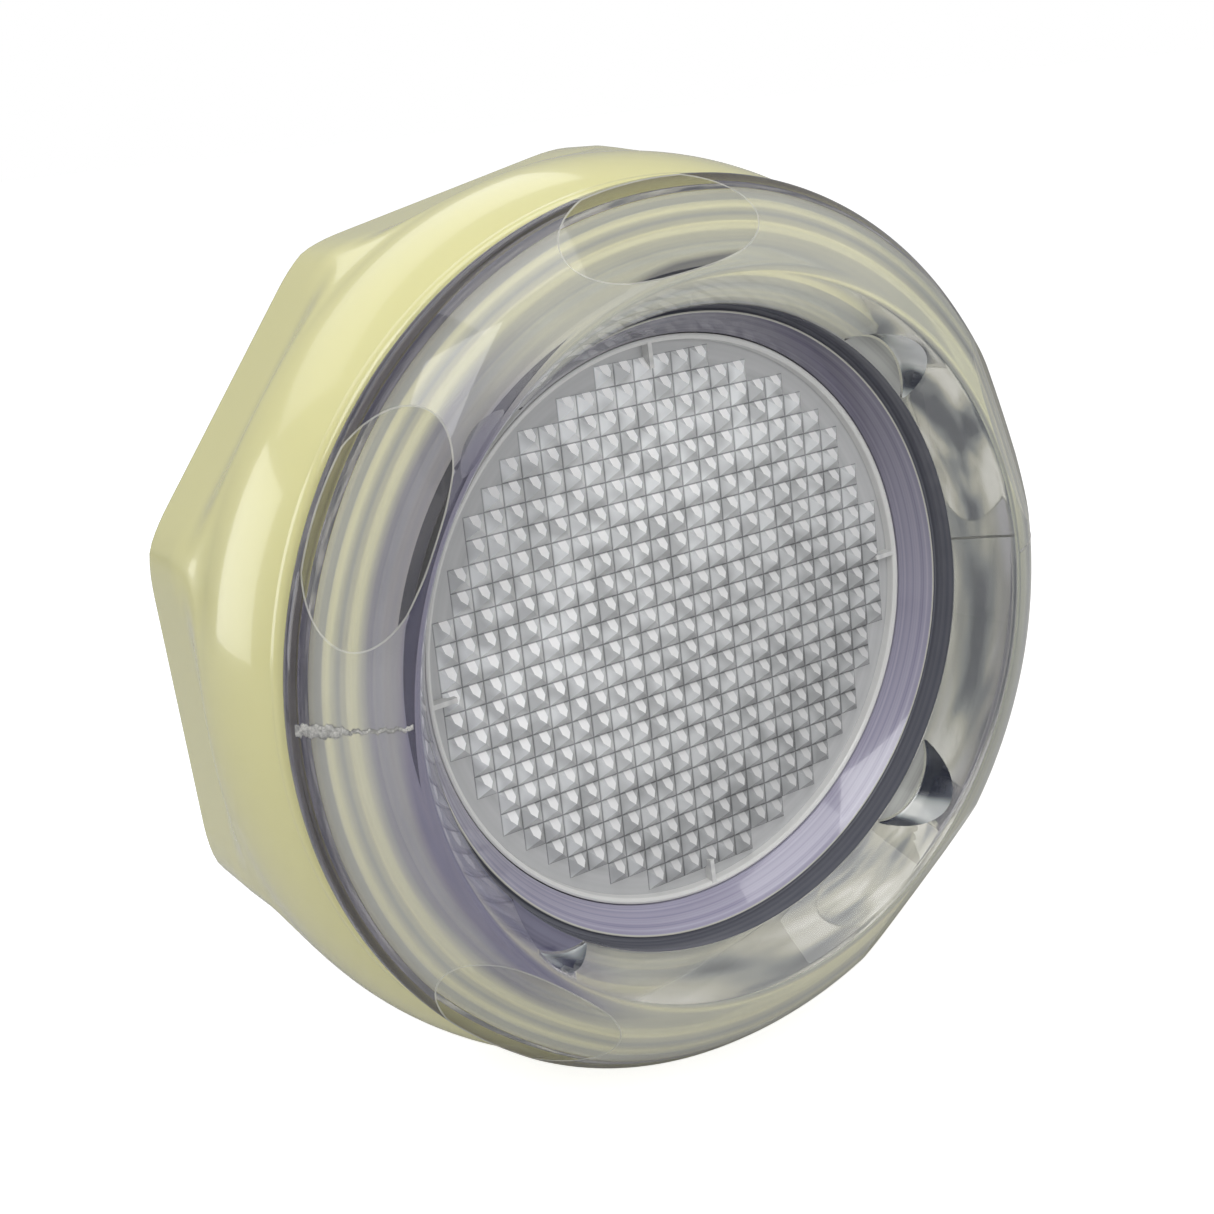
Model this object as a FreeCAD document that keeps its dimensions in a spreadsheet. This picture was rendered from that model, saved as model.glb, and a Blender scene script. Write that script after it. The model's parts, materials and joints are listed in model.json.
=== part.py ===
import FreeCAD, Part
import math, os
import Sketcher

# Recessed spa light for a through-wall fitting. Millimetres. The light's axis is Y:
# -Y looks out into the water, +Y is the dry side behind the wall, +Z is up.
# The origin is the centre of the flange's rear face, the face that meets the wall.

doc = FreeCAD.newDocument("spa_light")

# ---------------------------------------------------------------- dimensions
P = dict(
    front_datum=20.0,          # local Y of the wall face in the housing's own body
    # flange and rim
    flange_rad=62.1, flange_edge=-0.4, rim_arc=26.0, crown_rad=50.3, crown_out=9.4,
    rim_inner_rad=49.2, rim_inner_out=8.9, recess_rad=44.95, recess_out=1.0,
    groove_outer=44.85, groove_inner=44.25, groove_floor=2.8, lip_rad=43.9, lip_in=2.1,
    skirt_inner=59.4, skirt_back=2.7, skirt_edge=0.5,
    window_rad=40.9, window_in=6.6, shelf_in=11.0, shelf_rad=38.0, shelf_back=13.2,
    barrel_bore=42.0, barrel_rad=46.9, barrel_end=58.0, barrel_chamfer=0.8,
    # spanner notches and shoulder facets
    notch_pitch_rad=40.5, notch_rad=8.4, notch_floor_out=1.0, notch_count=4, notch_angle=45.0,
    facet_low_rad=45.91, facet_low_y=6.76, facet_high_rad=65.54, facet_high_y=23.82,
    facet_clear=2.0, facet_length=60.0, facet_count=5, facet_turn=5.5, facet_span=304.0,
    # lens disc and seals
    lens_rad=40.8, lens_front=6.6, lens_thick=3.8, seal_inner=38.2, seal_outer=40.6, seal_front=10.4, seal_thick=0.6,
    gasket_inner=47.4, gasket_outer=59.0, gasket_thick=3.0,
    washer_inner=47.3, washer_outer=58.5, washer_front=3.1, washer_thick=1.0,
    # lock nut
    nut_bore=46.98, nut_front=4.2, nut_face_rad=60.6, nut_nose_rad=62.2, nut_nose_y=5.6,
    collar_rad=65.6, collar_y=19.5, collar_back_rad=65.9, collar_back_y=25.5,
    nut_corner_rad=66.9, nut_corner_y=30.0, nut_back=39.2, nut_edge=1.4, nut_lead=1.2,
    nut_apothem=63.4, nut_flat_width=60.0, nut_flats_front=26.6, nut_flats=9, nut_first_flat=102.2,
    # rear cover
    skirt_rad=41.4, skirt_bore=36.5, skirt_front=44.0, cover_flange_rad=46.9, cover_flange_front=58.3,
    cover_flange_back=61.5, cover_shoulder=44.0, cover_inner_y=60.0, cover_inner_rad=27.0, cover_wall_front=73.4,
    cover_back=76.0, cover_back_rad=28.4, cover_back_edge=74.8, cover_back_edge_rad=30.0, gland_hole=7.2,
    ring_groove_a=47.6, ring_groove_b=52.8, ring_groove_width=3.4, ring_groove_rad=39.2, ring_wire=1.35, ring_centre=40.6,
    # reflector
    refl_front=14.0, refl_lip=16.0, refl_lip_rad=39.2, refl_thick=1.6, refl_neck_rad=11.0, refl_neck_bore=9.0,
    refl_throat=42.0, refl_neck_end=50.0, refl_skirt_rad=39.8, refl_skirt_end=43.9, refl_arc=46.0, refl_arc_back=47.6,
    post_pitch=22.5, post_rad=3.6, post_front=30.0, post_back=73.3, post_hole=1.6, post_hole_depth=16.0,
    # cover screws
    screw_rad=1.5, screw_head=3.3, screw_head_height=2.2, screw_tip=60.0, screw_clear=1.9, screw_slot=0.9, screw_count=3,
    # lamp holder and lamp
    holder_rad=8.9, holder_front=42.2, holder_flange_rad=11.0, holder_flange_y=50.1, holder_flange_thick=2.0,
    holder_back=56.0, holder_neck=7.0, slot_wide=10.6, slot_high=4.4, slot_depth=8.3,
    lamp_rad=6.0, lamp_wall=0.7, lamp_tip=26.0, lamp_shoulder=36.5, lamp_pinch=41.4, lamp_pinch_rad=3.4,
    wedge_wide=9.4, wedge_high=2.4, wedge_length=7.8,
    # cable gland
    gland_rad=7.1, gland_tail=69.0, gland_flange_front=77.2, gland_flange_back=81.2, gland_flats=22.0,
    gland_neck=8.5, gland_neck_back=90.0, gland_bore=4.8, gland_pocket=7.2, gland_pocket_front=83.6,
    seat_inner=7.3, seat_outer=10.6, locknut_flats=20.0, locknut_front=70.0, locknut_back=73.3,
    clamp_outer=6.9, clamp_inner=4.0, clamp_front=84.0, clamp_back=93.0,
    cap_bore=8.58, cap_front=82.4, cap_roof=93.2, cap_back=96.4, cap_hole=4.6, cap_flats=22.0, cap_edge=1.4,
    # terminals
    block_wide=24.0, block_deep=10.0, block_high=9.0, block_y=63.3, block_z=-23.6,
    term_x=5.5, term_rad=1.4, term_head=2.5, term_head_height=2.0, term_depth=6.0,
    wire_rad=0.9,
)

sheet = doc.addObject("Spreadsheet::Sheet", "Params")
for row, (name, number) in enumerate(sorted(P.items()), start=1):
    sheet.set("A%d" % row, name)
    sheet.set("B%d" % row, str(number))
    sheet.setAlias("B%d" % row, name)
doc.recompute()


def read(token):
    """A length written as an alias, an alias and an offset, or a plain number."""
    for sign in ("+", "-"):
        if sign in token[1:]:
            name, off = token.split(sign)
            return P[name.strip()] + float(sign + off.strip())
    return P[token] if token in P else float(token)


def bind(token):
    for sign in ("+", "-"):
        if sign in token[1:]:
            name, off = token.split(sign)
            return "Params.%s %s %s" % (name.strip(), sign, off.strip())
    return "Params.%s" % token if token in P else "%s" % token


def plane(body, role):
    for o in body.Origin.OriginFeatures:
        if o.Role == role:
            return o
    raise RuntimeError(role)


def new_body(label):
    body = doc.addObject("PartDesign::Body", label + "_body")
    body.Label = label
    return body


def new_sketch(body, role, name):
    sk = body.newObject("Sketcher::SketchObject", name)
    sk.AttachmentSupport = [(plane(body, role), "")]
    sk.MapMode = "FlatFace"
    return sk


def fix_point(sk, geo, end, x, y):
    """Ties one end of a segment to the sheet: x and y are tokens that read() takes."""
    for kind, token in (("DistanceX", x), ("DistanceY", y)):
        value = read(token)
        if value == 0.0:
            sk.addConstraint(Sketcher.Constraint("PointOnObject", geo, end, -2 if kind == "DistanceX" else -1))
            continue
        n = sk.addConstraint(Sketcher.Constraint(kind, -1, 1, geo, end, value))
        if token in P or token.replace(" ", "")[:1].isalpha():
            sk.setExpression("Constraints[%d]" % n, bind(token))


def outline(sk, points):
    """A closed outline. Each point is (x, y) or (x, y, radius, side): with a radius, the
    segment that starts there is an arc; side +1 has its centre to the left of the chord."""
    pts = [(read(p[0]), read(p[1])) for p in points]
    count = len(pts)
    for i, p in enumerate(points):
        a, b = pts[i], pts[(i + 1) % count]
        if len(p) == 2:
            sk.addGeometry(Part.LineSegment(FreeCAD.Vector(a[0], a[1], 0), FreeCAD.Vector(b[0], b[1], 0)))
            continue
        rad = read(p[2])
        side = p[3]
        dx, dy = b[0] - a[0], b[1] - a[1]
        half = math.hypot(dx, dy) / 2
        lift = math.sqrt(max(rad * rad - half * half, 0.0))
        cx = (a[0] + b[0]) / 2 - side * dy / (2 * half) * lift
        cy = (a[1] + b[1]) / 2 + side * dx / (2 * half) * lift
        ta, tb = math.atan2(a[1] - cy, a[0] - cx), math.atan2(b[1] - cy, b[0] - cx)
        if side < 0:
            ta, tb = tb, ta
        while tb < ta:
            tb += 2 * math.pi
        circle = Part.Circle(FreeCAD.Vector(cx, cy, 0), FreeCAD.Vector(0, 0, 1), rad)
        sk.addGeometry(Part.ArcOfCircle(circle, ta, tb))
    ends = []
    for i, p in enumerate(points):
        start, stop = 1, 2
        g = sk.Geometry[i]
        first = g.StartPoint
        if math.hypot(first.x - pts[i][0], first.y - pts[i][1]) > 1e-6:
            start, stop = 2, 1
        ends.append((start, stop))
    for i in range(count):
        j = (i + 1) % count
        sk.addConstraint(Sketcher.Constraint("Coincident", i, ends[i][1], j, ends[j][0]))
    for i, p in enumerate(points):
        fix_point(sk, i, ends[i][0], p[0], p[1])
        if len(p) > 2:
            n = sk.addConstraint(Sketcher.Constraint("Radius", i, read(p[2])))
            if p[2] in P:
                sk.setExpression("Constraints[%d]" % n, bind(p[2]))


def revolve(body, points, name="profile"):
    """A revolution about the light's axis: sketch x is the radius, sketch y is Y."""
    sk = new_sketch(body, "XY_Plane", name)
    outline(sk, points)
    rev = body.newObject("PartDesign::Revolution", name + "_turned")
    rev.Profile = sk
    rev.ReferenceAxis = (sk, ["V_Axis"])
    rev.Angle = 360.0
    body.Tip = rev
    return rev


def groove(body, points, name):
    sk = new_sketch(body, "XY_Plane", name)
    outline(sk, points)
    cut = body.newObject("PartDesign::Groove", name + "_cut")
    cut.Profile = sk
    cut.ReferenceAxis = (sk, ["V_Axis"])
    cut.Angle = 360.0
    body.Tip = cut
    return cut


def through_cut(body, sk, name, length_token, reverse, symmetric=False):
    cut = body.newObject("PartDesign::Pocket", name)
    cut.Profile = sk
    cut.Length = read(length_token)
    cut.setExpression("Length", bind(length_token))
    if symmetric:
        if "SideType" in cut.PropertiesList:
            cut.SideType = "Symmetric"
        else:
            cut.Midplane = True
    cut.Reversed = reverse
    body.Tip = cut
    return cut


def ring_pattern(body, feature, name, count_token):
    pat = body.newObject("PartDesign::PolarPattern", name)
    pat.Originals = [feature]
    pat.Axis = (plane(body, "Y_Axis"), [""])
    pat.Angle = 360.0
    pat.Occurrences = int(read(count_token))
    pat.setExpression("Occurrences", bind(count_token))
    body.Tip = pat
    return pat


def ring(label, inner, outer, front, back):
    body = new_body(label)
    revolve(body, [(inner, front), (outer, front), (outer, back), (inner, back)])
    return body


# ---------------------------------------------------------------- lens housing
F = P["front_datum"]
P_local = {
    "h_flange_edge": F - P["flange_edge"], "h_crown": F - P["crown_out"], "h_rim_inner": F - P["rim_inner_out"],
    "h_recess": F - P["recess_out"], "h_groove": F + P["groove_floor"], "h_lip": F + P["lip_in"],
    "h_window": F + P["window_in"], "h_shelf": F + P["shelf_in"], "h_shelf_back": F + P["shelf_back"],
    "h_end": F + P["barrel_end"], "h_skirt": F + P["skirt_back"], "h_notch_floor": F - P["notch_floor_out"],
}
for extra, (name, number) in enumerate(sorted(P_local.items()), start=len(P) + 1):
    P[name] = number
    sheet.set("A%d" % extra, name)
    sheet.set("B%d" % extra, str(number))
    sheet.setAlias("B%d" % extra, name)
doc.recompute()

housing = new_body("lens_housing")
revolve(housing, [
    ("flange_rad", "h_flange_edge", "rim_arc", -1),
    ("crown_rad", "h_crown"),
    ("rim_inner_rad", "h_rim_inner"),
    ("recess_rad", "h_recess"),
    ("groove_outer", "h_groove"),
    ("groove_inner", "h_groove"),
    ("lip_rad", "h_lip"),
    ("window_rad", "h_window"),
    ("window_rad", "h_shelf"),
    ("shelf_rad", "h_shelf"),
    ("shelf_rad", "h_shelf_back"),
    ("barrel_bore", "h_shelf_back"),
    ("barrel_bore", "h_end"),
    ("barrel_rad-0.8", "h_end"),
    ("barrel_rad", "h_end-0.8"),
    ("barrel_rad", "front_datum"),
    ("skirt_inner", "front_datum"),
    ("skirt_inner", "h_skirt"),
    ("flange_rad-0.5", "h_skirt"),
    ("flange_rad", "h_skirt-0.5"),
])
doc.recompute()

notch_sk = new_sketch(housing, "XZ_Plane", "notch")
nx = P["notch_pitch_rad"] * math.cos(math.radians(P["notch_angle"]))
notch_sk.addGeometry(Part.Circle(FreeCAD.Vector(nx, nx, 0), FreeCAD.Vector(0, 0, 1), P["notch_rad"]))
for kind in ("DistanceX", "DistanceY"):
    c = notch_sk.addConstraint(Sketcher.Constraint(kind, -1, 1, 0, 3, nx))
    notch_sk.setExpression("Constraints[%d]" % c, "Params.notch_pitch_rad * sin(45 deg)")
c = notch_sk.addConstraint(Sketcher.Constraint("Radius", 0, P["notch_rad"]))
notch_sk.setExpression("Constraints[%d]" % c, "Params.notch_rad")
notch = through_cut(housing, notch_sk, "notch_cut", "h_notch_floor", False)
doc.recompute()
ring_pattern(housing, notch, "notch_ring", "notch_count")
doc.recompute()

facet_sk = new_sketch(housing, "YZ_Plane", "facet")
facet_sk.AttachmentOffset = FreeCAD.Placement(FreeCAD.Vector(0, 0, 0), FreeCAD.Rotation(FreeCAD.Vector(1, 0, 0), -P["facet_turn"]))
outline(facet_sk, [
    ("facet_low_y", "facet_low_rad"),
    ("facet_high_y", "facet_high_rad"),
    ("facet_clear", "facet_high_rad"),
    ("facet_clear", "facet_low_rad"),
])
facet = through_cut(housing, facet_sk, "facet_cut", "facet_length", False, symmetric=True)
doc.recompute()
facets = ring_pattern(housing, facet, "facet_ring", "facet_count")
facets.setExpression("Angle", bind("facet_span"))
housing.Placement = FreeCAD.Placement(FreeCAD.Vector(0, -P["front_datum"], 0), FreeCAD.Rotation())
housing.setExpression("Placement.Base.y", "-Params.front_datum")
doc.recompute()

# ---------------------------------------------------------------- lens, seals, washer
lens = new_body("prismatic_lens")
revolve(lens, [("0", "lens_front"), ("lens_rad", "lens_front"), ("lens_rad", "seal_front"), ("0", "seal_front")])
ring("lens_seal", "seal_inner", "seal_outer", "seal_front", "shelf_in")
gasket = new_body("wall_gasket")
revolve(gasket, [("gasket_inner", "0"), ("gasket_outer", "0"), ("gasket_outer", "gasket_thick"), ("gasket_inner", "gasket_thick")])
ring("slip_washer", "washer_inner", "washer_outer", "washer_front", "washer_front+1.0")

# ---------------------------------------------------------------- lock nut
nut = new_body("lock_nut")
revolve(nut, [
    ("nut_bore+1.2", "nut_front"),
    ("nut_face_rad", "nut_front", "2.4", 1),
    ("nut_nose_rad", "nut_nose_y", "34.0", 1),
    ("collar_rad", "collar_y", "20.0", 1),
    ("collar_back_rad", "collar_back_y", "12.0", -1),
    ("nut_corner_rad", "nut_corner_y"),
    ("nut_corner_rad", "nut_back-1.4", "1.6", 1),
    ("nut_corner_rad-1.4", "nut_back"),
    ("nut_bore+1.2", "nut_back"),
    ("nut_bore", "nut_back-1.2"),
    ("nut_bore", "nut_front+1.2"),
])
doc.recompute()
flat_sk = new_sketch(nut, "XY_Plane", "flat")
outline(flat_sk, [
    ("nut_apothem", "nut_flats_front"),
    ("nut_apothem+4", "nut_flats_front-4.6"),
    ("nut_apothem+8", "nut_flats_front-4.6"),
    ("nut_apothem+8", "nut_back+2"),
    ("nut_apothem", "nut_back+2"),
])
flat = through_cut(nut, flat_sk, "flat_cut", "nut_flat_width", False, symmetric=True)
doc.recompute()
ring_pattern(nut, flat, "flat_ring", "nut_flats")
# the first flat lies on +X in its own body; a turn about Y brings it to its station
nut.Placement = FreeCAD.Placement(FreeCAD.Vector(0, 0, 0), FreeCAD.Rotation(FreeCAD.Vector(0, 1, 0), -P["nut_first_flat"]))
doc.recompute()

# ---------------------------------------------------------------- rear cover
cover = new_body("rear_cover")
revolve(cover, [
    ("skirt_bore", "skirt_front"),
    ("skirt_rad", "skirt_front"),
    ("skirt_rad", "cover_flange_front"),
    ("cover_flange_rad", "cover_flange_front"),
    ("cover_flange_rad", "cover_flange_back"),
    ("cover_shoulder", "cover_flange_back"),
    ("cover_back_edge_rad", "cover_back_edge"),
    ("cover_back_rad", "cover_back"),
    ("gland_hole", "cover_back"),
    ("gland_hole", "cover_wall_front"),
    ("cover_inner_rad", "cover_wall_front"),
    ("skirt_bore", "cover_inner_y"),
])
doc.recompute()
for letter in ("a", "b"):
    g = "ring_groove_" + letter
    groove(cover, [("ring_groove_rad", g), ("skirt_rad+1", g), ("skirt_rad+1", g + "+3.4"), ("ring_groove_rad", g + "+3.4")], "groove_" + letter)
    doc.recompute()
hole_sk = new_sketch(cover, "XZ_Plane", "screw_hole")
hole_sk.addGeometry(Part.Circle(FreeCAD.Vector(0, P["post_pitch"], 0), FreeCAD.Vector(0, 0, 1), P["screw_clear"]))
hole_sk.addConstraint(Sketcher.Constraint("PointOnObject", 0, 3, -2))
c = hole_sk.addConstraint(Sketcher.Constraint("DistanceY", -1, 1, 0, 3, P["post_pitch"]))
hole_sk.setExpression("Constraints[%d]" % c, "Params.post_pitch")
c = hole_sk.addConstraint(Sketcher.Constraint("Radius", 0, P["screw_clear"]))
hole_sk.setExpression("Constraints[%d]" % c, "Params.screw_clear")
hole = through_cut(cover, hole_sk, "screw_hole_cut", "cover_back+2", False)
doc.recompute()
ring_pattern(cover, hole, "screw_hole_ring", "screw_count")
doc.recompute()

# ---------------------------------------------------------------- reflector
refl = new_body("reflector")
revolve(refl, [
    ("refl_neck_bore", "refl_throat", "refl_arc", -1),
    ("refl_lip_rad", "refl_front"),
    ("skirt_rad", "refl_front"),
    ("skirt_rad", "refl_skirt_end"),
    ("refl_skirt_rad", "refl_skirt_end"),
    ("refl_skirt_rad", "refl_lip+1.2", "refl_arc_back", 1),
    ("refl_neck_rad", "refl_throat+1.4"),
    ("refl_neck_rad", "refl_neck_end"),
    ("refl_neck_bore", "refl_neck_end"),
])
doc.recompute()

# the three posts stand on the back of the dish and take the cover screws
posts = []
for i in range(3):
    ang = math.radians(90 + 120 * i)
    post = doc.addObject("Part::Cylinder", "post_%d" % i)
    post.setExpression("Radius", "Params.post_rad")
    post.setExpression("Height", "Params.post_back - Params.post_front")
    post.Placement = FreeCAD.Placement(
        FreeCAD.Vector(P["post_pitch"] * math.cos(ang), P["post_front"], P["post_pitch"] * math.sin(ang)),
        FreeCAD.Rotation(FreeCAD.Vector(1, 0, 0), -90))
    bore = doc.addObject("Part::Cylinder", "post_bore_%d" % i)
    bore.setExpression("Radius", "Params.post_hole")
    bore.setExpression("Height", "Params.post_hole_depth + 2")
    bore.Placement = FreeCAD.Placement(
        FreeCAD.Vector(P["post_pitch"] * math.cos(ang), P["post_back"] - P["post_hole_depth"], P["post_pitch"] * math.sin(ang)),
        FreeCAD.Rotation(FreeCAD.Vector(1, 0, 0), -90))
    cut = doc.addObject("Part::Cut", "post_drilled_%d" % i)
    cut.Base, cut.Tool = post, bore
    posts.append(cut)
doc.recompute()
# what the posts may not enter: the bowl in front of the dish
bowl = new_body("bowl_space")
revolve(bowl, [
    ("0", "refl_throat"), ("refl_neck_bore+0.6", "refl_throat", "refl_arc", -1),
    ("refl_lip_rad+0.6", "refl_front"), ("0", "refl_front"),
])
doc.recompute()
raw_posts = doc.addObject("Part::MultiFuse", "posts")
raw_posts.Shapes = posts
doc.recompute()
trimmed = doc.addObject("Part::Cut", "posts_trimmed")
trimmed.Base, trimmed.Tool = raw_posts, bowl
reflector = doc.addObject("Part::MultiFuse", "reflector_with_posts")
reflector.Shapes = [refl, trimmed]
refl.Label = "reflector_dish"
reflector.Label = "reflector"
doc.recompute()

# ---------------------------------------------------------------- cover screws and O-rings
screws = []
for i in range(3):
    ang = math.radians(90 + 120 * i)
    at = (P["post_pitch"] * math.cos(ang), P["post_pitch"] * math.sin(ang))
    shank = doc.addObject("Part::Cylinder", "shank_%d" % i)
    shank.setExpression("Radius", "Params.screw_rad")
    shank.setExpression("Height", "Params.cover_back - Params.screw_tip")
    shank.Placement = FreeCAD.Placement(FreeCAD.Vector(at[0], P["screw_tip"], at[1]), FreeCAD.Rotation(FreeCAD.Vector(1, 0, 0), -90))
    head = doc.addObject("Part::Cylinder", "head_%d" % i)
    head.setExpression("Radius", "Params.screw_head")
    head.setExpression("Height", "Params.screw_head_height")
    head.Placement = FreeCAD.Placement(FreeCAD.Vector(at[0], P["cover_back"], at[1]), FreeCAD.Rotation(FreeCAD.Vector(1, 0, 0), -90))
    dome = doc.addObject("Part::Fillet", "head_round_%d" % i)
    doc.recompute()
    dome.Base = head
    top = [n for n, e in enumerate(head.Shape.Edges, start=1) if len(e.Vertexes) == 1 and e.BoundBox.YMin > P["cover_back"] + 1]
    dome.Edges = [(n, 1.0, 1.0) for n in top]
    slots = []
    for turn in (0, 90):
        slot = doc.addObject("Part::Box", "slot_%d_%d" % (i, turn))
        slot.Length, slot.Width, slot.Height = 4.2, 1.6, P["screw_slot"]
        slot.setExpression("Height", "Params.screw_slot")
        a = math.radians(turn)
        off = FreeCAD.Rotation(FreeCAD.Vector(0, 1, 0), turn).multVec(FreeCAD.Vector(-2.1, 0, -P["screw_slot"] / 2))
        slot.Placement = FreeCAD.Placement(
            FreeCAD.Vector(at[0] + off.x, P["cover_back"] + P["screw_head_height"] - 1.3, at[1] + off.z),
            FreeCAD.Rotation(FreeCAD.Vector(0, 1, 0), turn))
        slots.append(slot)
    cross = doc.addObject("Part::MultiFuse", "cross_%d" % i)
    cross.Shapes = slots
    driven = doc.addObject("Part::Cut", "head_driven_%d" % i)
    driven.Base, driven.Tool = dome, cross
    one = doc.addObject("Part::MultiFuse", "screw_%d" % i)
    one.Shapes = [shank, driven]
    screws.append(one)
cover_screws = doc.addObject("Part::Compound", "cover_screws")
cover_screws.Label = "cover_screws"
cover_screws.Links = screws
doc.recompute()

rings = []
for letter in ("a", "b"):
    tor = doc.addObject("Part::Torus", "o_ring_" + letter)
    tor.setExpression("Radius1", "Params.ring_centre")
    tor.setExpression("Radius2", "Params.ring_wire")
    tor.Placement = FreeCAD.Placement(FreeCAD.Vector(0, P["ring_groove_" + letter] + P["ring_groove_width"] / 2, 0), FreeCAD.Rotation(FreeCAD.Vector(1, 0, 0), 90))
    tor.setExpression("Placement.Base.y", "Params.ring_groove_%s + Params.ring_groove_width / 2" % letter)
    rings.append(tor)
o_rings = doc.addObject("Part::Compound", "carrier_o_rings")
o_rings.Label = "carrier_o_rings"
o_rings.Links = rings
doc.recompute()

# ---------------------------------------------------------------- lamp holder, contacts
holder = new_body("lamp_holder")
revolve(holder, [
    ("0", "holder_front"), ("holder_rad", "holder_front"), ("holder_rad", "holder_flange_y"),
    ("holder_flange_rad", "holder_flange_y"), ("holder_flange_rad", "holder_flange_y+2"),
    ("holder_neck", "holder_flange_y+2"), ("holder_neck", "holder_back"), ("0", "holder_back"),
])
doc.recompute()
slot_sk = new_sketch(holder, "XZ_Plane", "wedge_slot")
w, hgt = P["slot_wide"] / 2, P["slot_high"] / 2
sq = [(-w, -hgt), (w, -hgt), (w, hgt), (-w, hgt)]
for i in range(4):
    a, b = sq[i], sq[(i + 1) % 4]
    slot_sk.addGeometry(Part.LineSegment(FreeCAD.Vector(a[0], a[1], 0), FreeCAD.Vector(b[0], b[1], 0)))
for i in range(4):
    slot_sk.addConstraint(Sketcher.Constraint("Coincident", i, 2, (i + 1) % 4, 1))
slot_sk.addConstraint(Sketcher.Constraint("Horizontal", 0))
slot_sk.addConstraint(Sketcher.Constraint("Horizontal", 2))
slot_sk.addConstraint(Sketcher.Constraint("Vertical", 1))
slot_sk.addConstraint(Sketcher.Constraint("Vertical", 3))
slot_sk.addConstraint(Sketcher.Constraint("Symmetric", 0, 1, 1, 2, -1, 1))
c = slot_sk.addConstraint(Sketcher.Constraint("DistanceX", 0, 1, 0, 2, P["slot_wide"]))
slot_sk.setExpression("Constraints[%d]" % c, "Params.slot_wide")
c = slot_sk.addConstraint(Sketcher.Constraint("DistanceY", 1, 1, 1, 2, P["slot_high"]))
slot_sk.setExpression("Constraints[%d]" % c, "Params.slot_high")
slot_cut = through_cut(holder, slot_sk, "wedge_slot_cut", "holder_front+8.3", False)
doc.recompute()

contacts = []
for i, x in enumerate((-4.1, 2.5)):
    # a leaf along the slot's wall, and its tail out of the holder's back
    leaf = doc.addObject("Part::Box", "contact_%d" % i)
    leaf.Length, leaf.Width, leaf.Height = 1.6, 7.6, 0.4
    leaf.Placement = FreeCAD.Placement(FreeCAD.Vector(x, P["holder_front"] + 0.6, (-1 if i else 1) * 1.9 - 0.2), FreeCAD.Rotation())
    tail = doc.addObject("Part::Box", "contact_tail_%d" % i)
    tail.Length, tail.Width, tail.Height = 1.6, 3.0, 0.5
    tail.Placement = FreeCAD.Placement(FreeCAD.Vector(x, P["holder_back"], -0.25), FreeCAD.Rotation())
    contacts += [leaf, tail]
holder_contacts = doc.addObject("Part::Compound", "holder_contacts")
holder_contacts.Label = "holder_contacts"
holder_contacts.Links = contacts
doc.recompute()

# ---------------------------------------------------------------- lamp
glass = new_body("lamp_glass")
revolve(glass, [
    ("0", "lamp_tip", "lamp_rad+0.8", 1),
    ("lamp_rad", "lamp_tip+5", "60.0", 1),
    ("lamp_rad", "lamp_shoulder", "9.0", 1),
    ("lamp_pinch_rad", "lamp_pinch"),
    ("lamp_pinch_rad-0.7", "lamp_pinch", "8.0", -1),
    ("lamp_rad-0.7", "lamp_shoulder-0.3"),
    ("lamp_rad-0.7", "lamp_tip+5.4", "lamp_rad+0.2", -1),
    ("0", "lamp_tip+0.8"),
])
doc.recompute()
base = doc.addObject("Part::Box", "lamp_base")
base.Label = "lamp_base"
for prop, name in (("Length", "wedge_wide"), ("Height", "wedge_high"), ("Width", "wedge_length")):
    base.setExpression(prop, "Params." + name)
base.Placement = FreeCAD.Placement(FreeCAD.Vector(-P["wedge_wide"] / 2, P["lamp_pinch"] + 0.1, -P["wedge_high"] / 2), FreeCAD.Rotation())


def wire_solid(points, rad):
    """A round wire along a smooth line through the points."""
    vs = [FreeCAD.Vector(*q) for q in points]
    if len(vs) == 2:
        edge = Part.LineSegment(vs[0], vs[1]).toShape()
    else:
        curve = Part.BSplineCurve()
        curve.interpolate(vs)
        edge = curve.toShape()
    start = edge.valueAt(edge.FirstParameter)
    tangent = edge.tangentAt(edge.FirstParameter)
    ring_wire = Part.Wire([Part.makeCircle(rad, start, tangent)])
    return Part.Wire([edge]).makePipeShell([ring_wire], True, True)


# two support wires and the coil between them
coil = []
for k in range(0, 97):
    a = 2 * math.pi * k / 12.0
    coil.append((-3.0 + 6.0 * k / 96.0, 31.5 + 0.55 * math.cos(a), 0.55 * math.sin(a)))
filament = doc.addObject("Part::Feature", "lamp_filament")
filament.Label = "lamp_filament"
filament.Shape = wire_solid(coil, 0.14)
supports = doc.addObject("Part::Feature", "lamp_supports")
supports.Label = "lamp_supports"
supports.Shape = Part.makeCompound([
    wire_solid([(s * 2.0, P["lamp_pinch"] - 0.1, 0), (s * 2.0, 38.0, 0), (s * 3.0, 34.5, 0), (s * 3.3, 31.6, 0)], 0.22) for s in (-1, 1)])
doc.recompute()

# ---------------------------------------------------------------- cable gland


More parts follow.
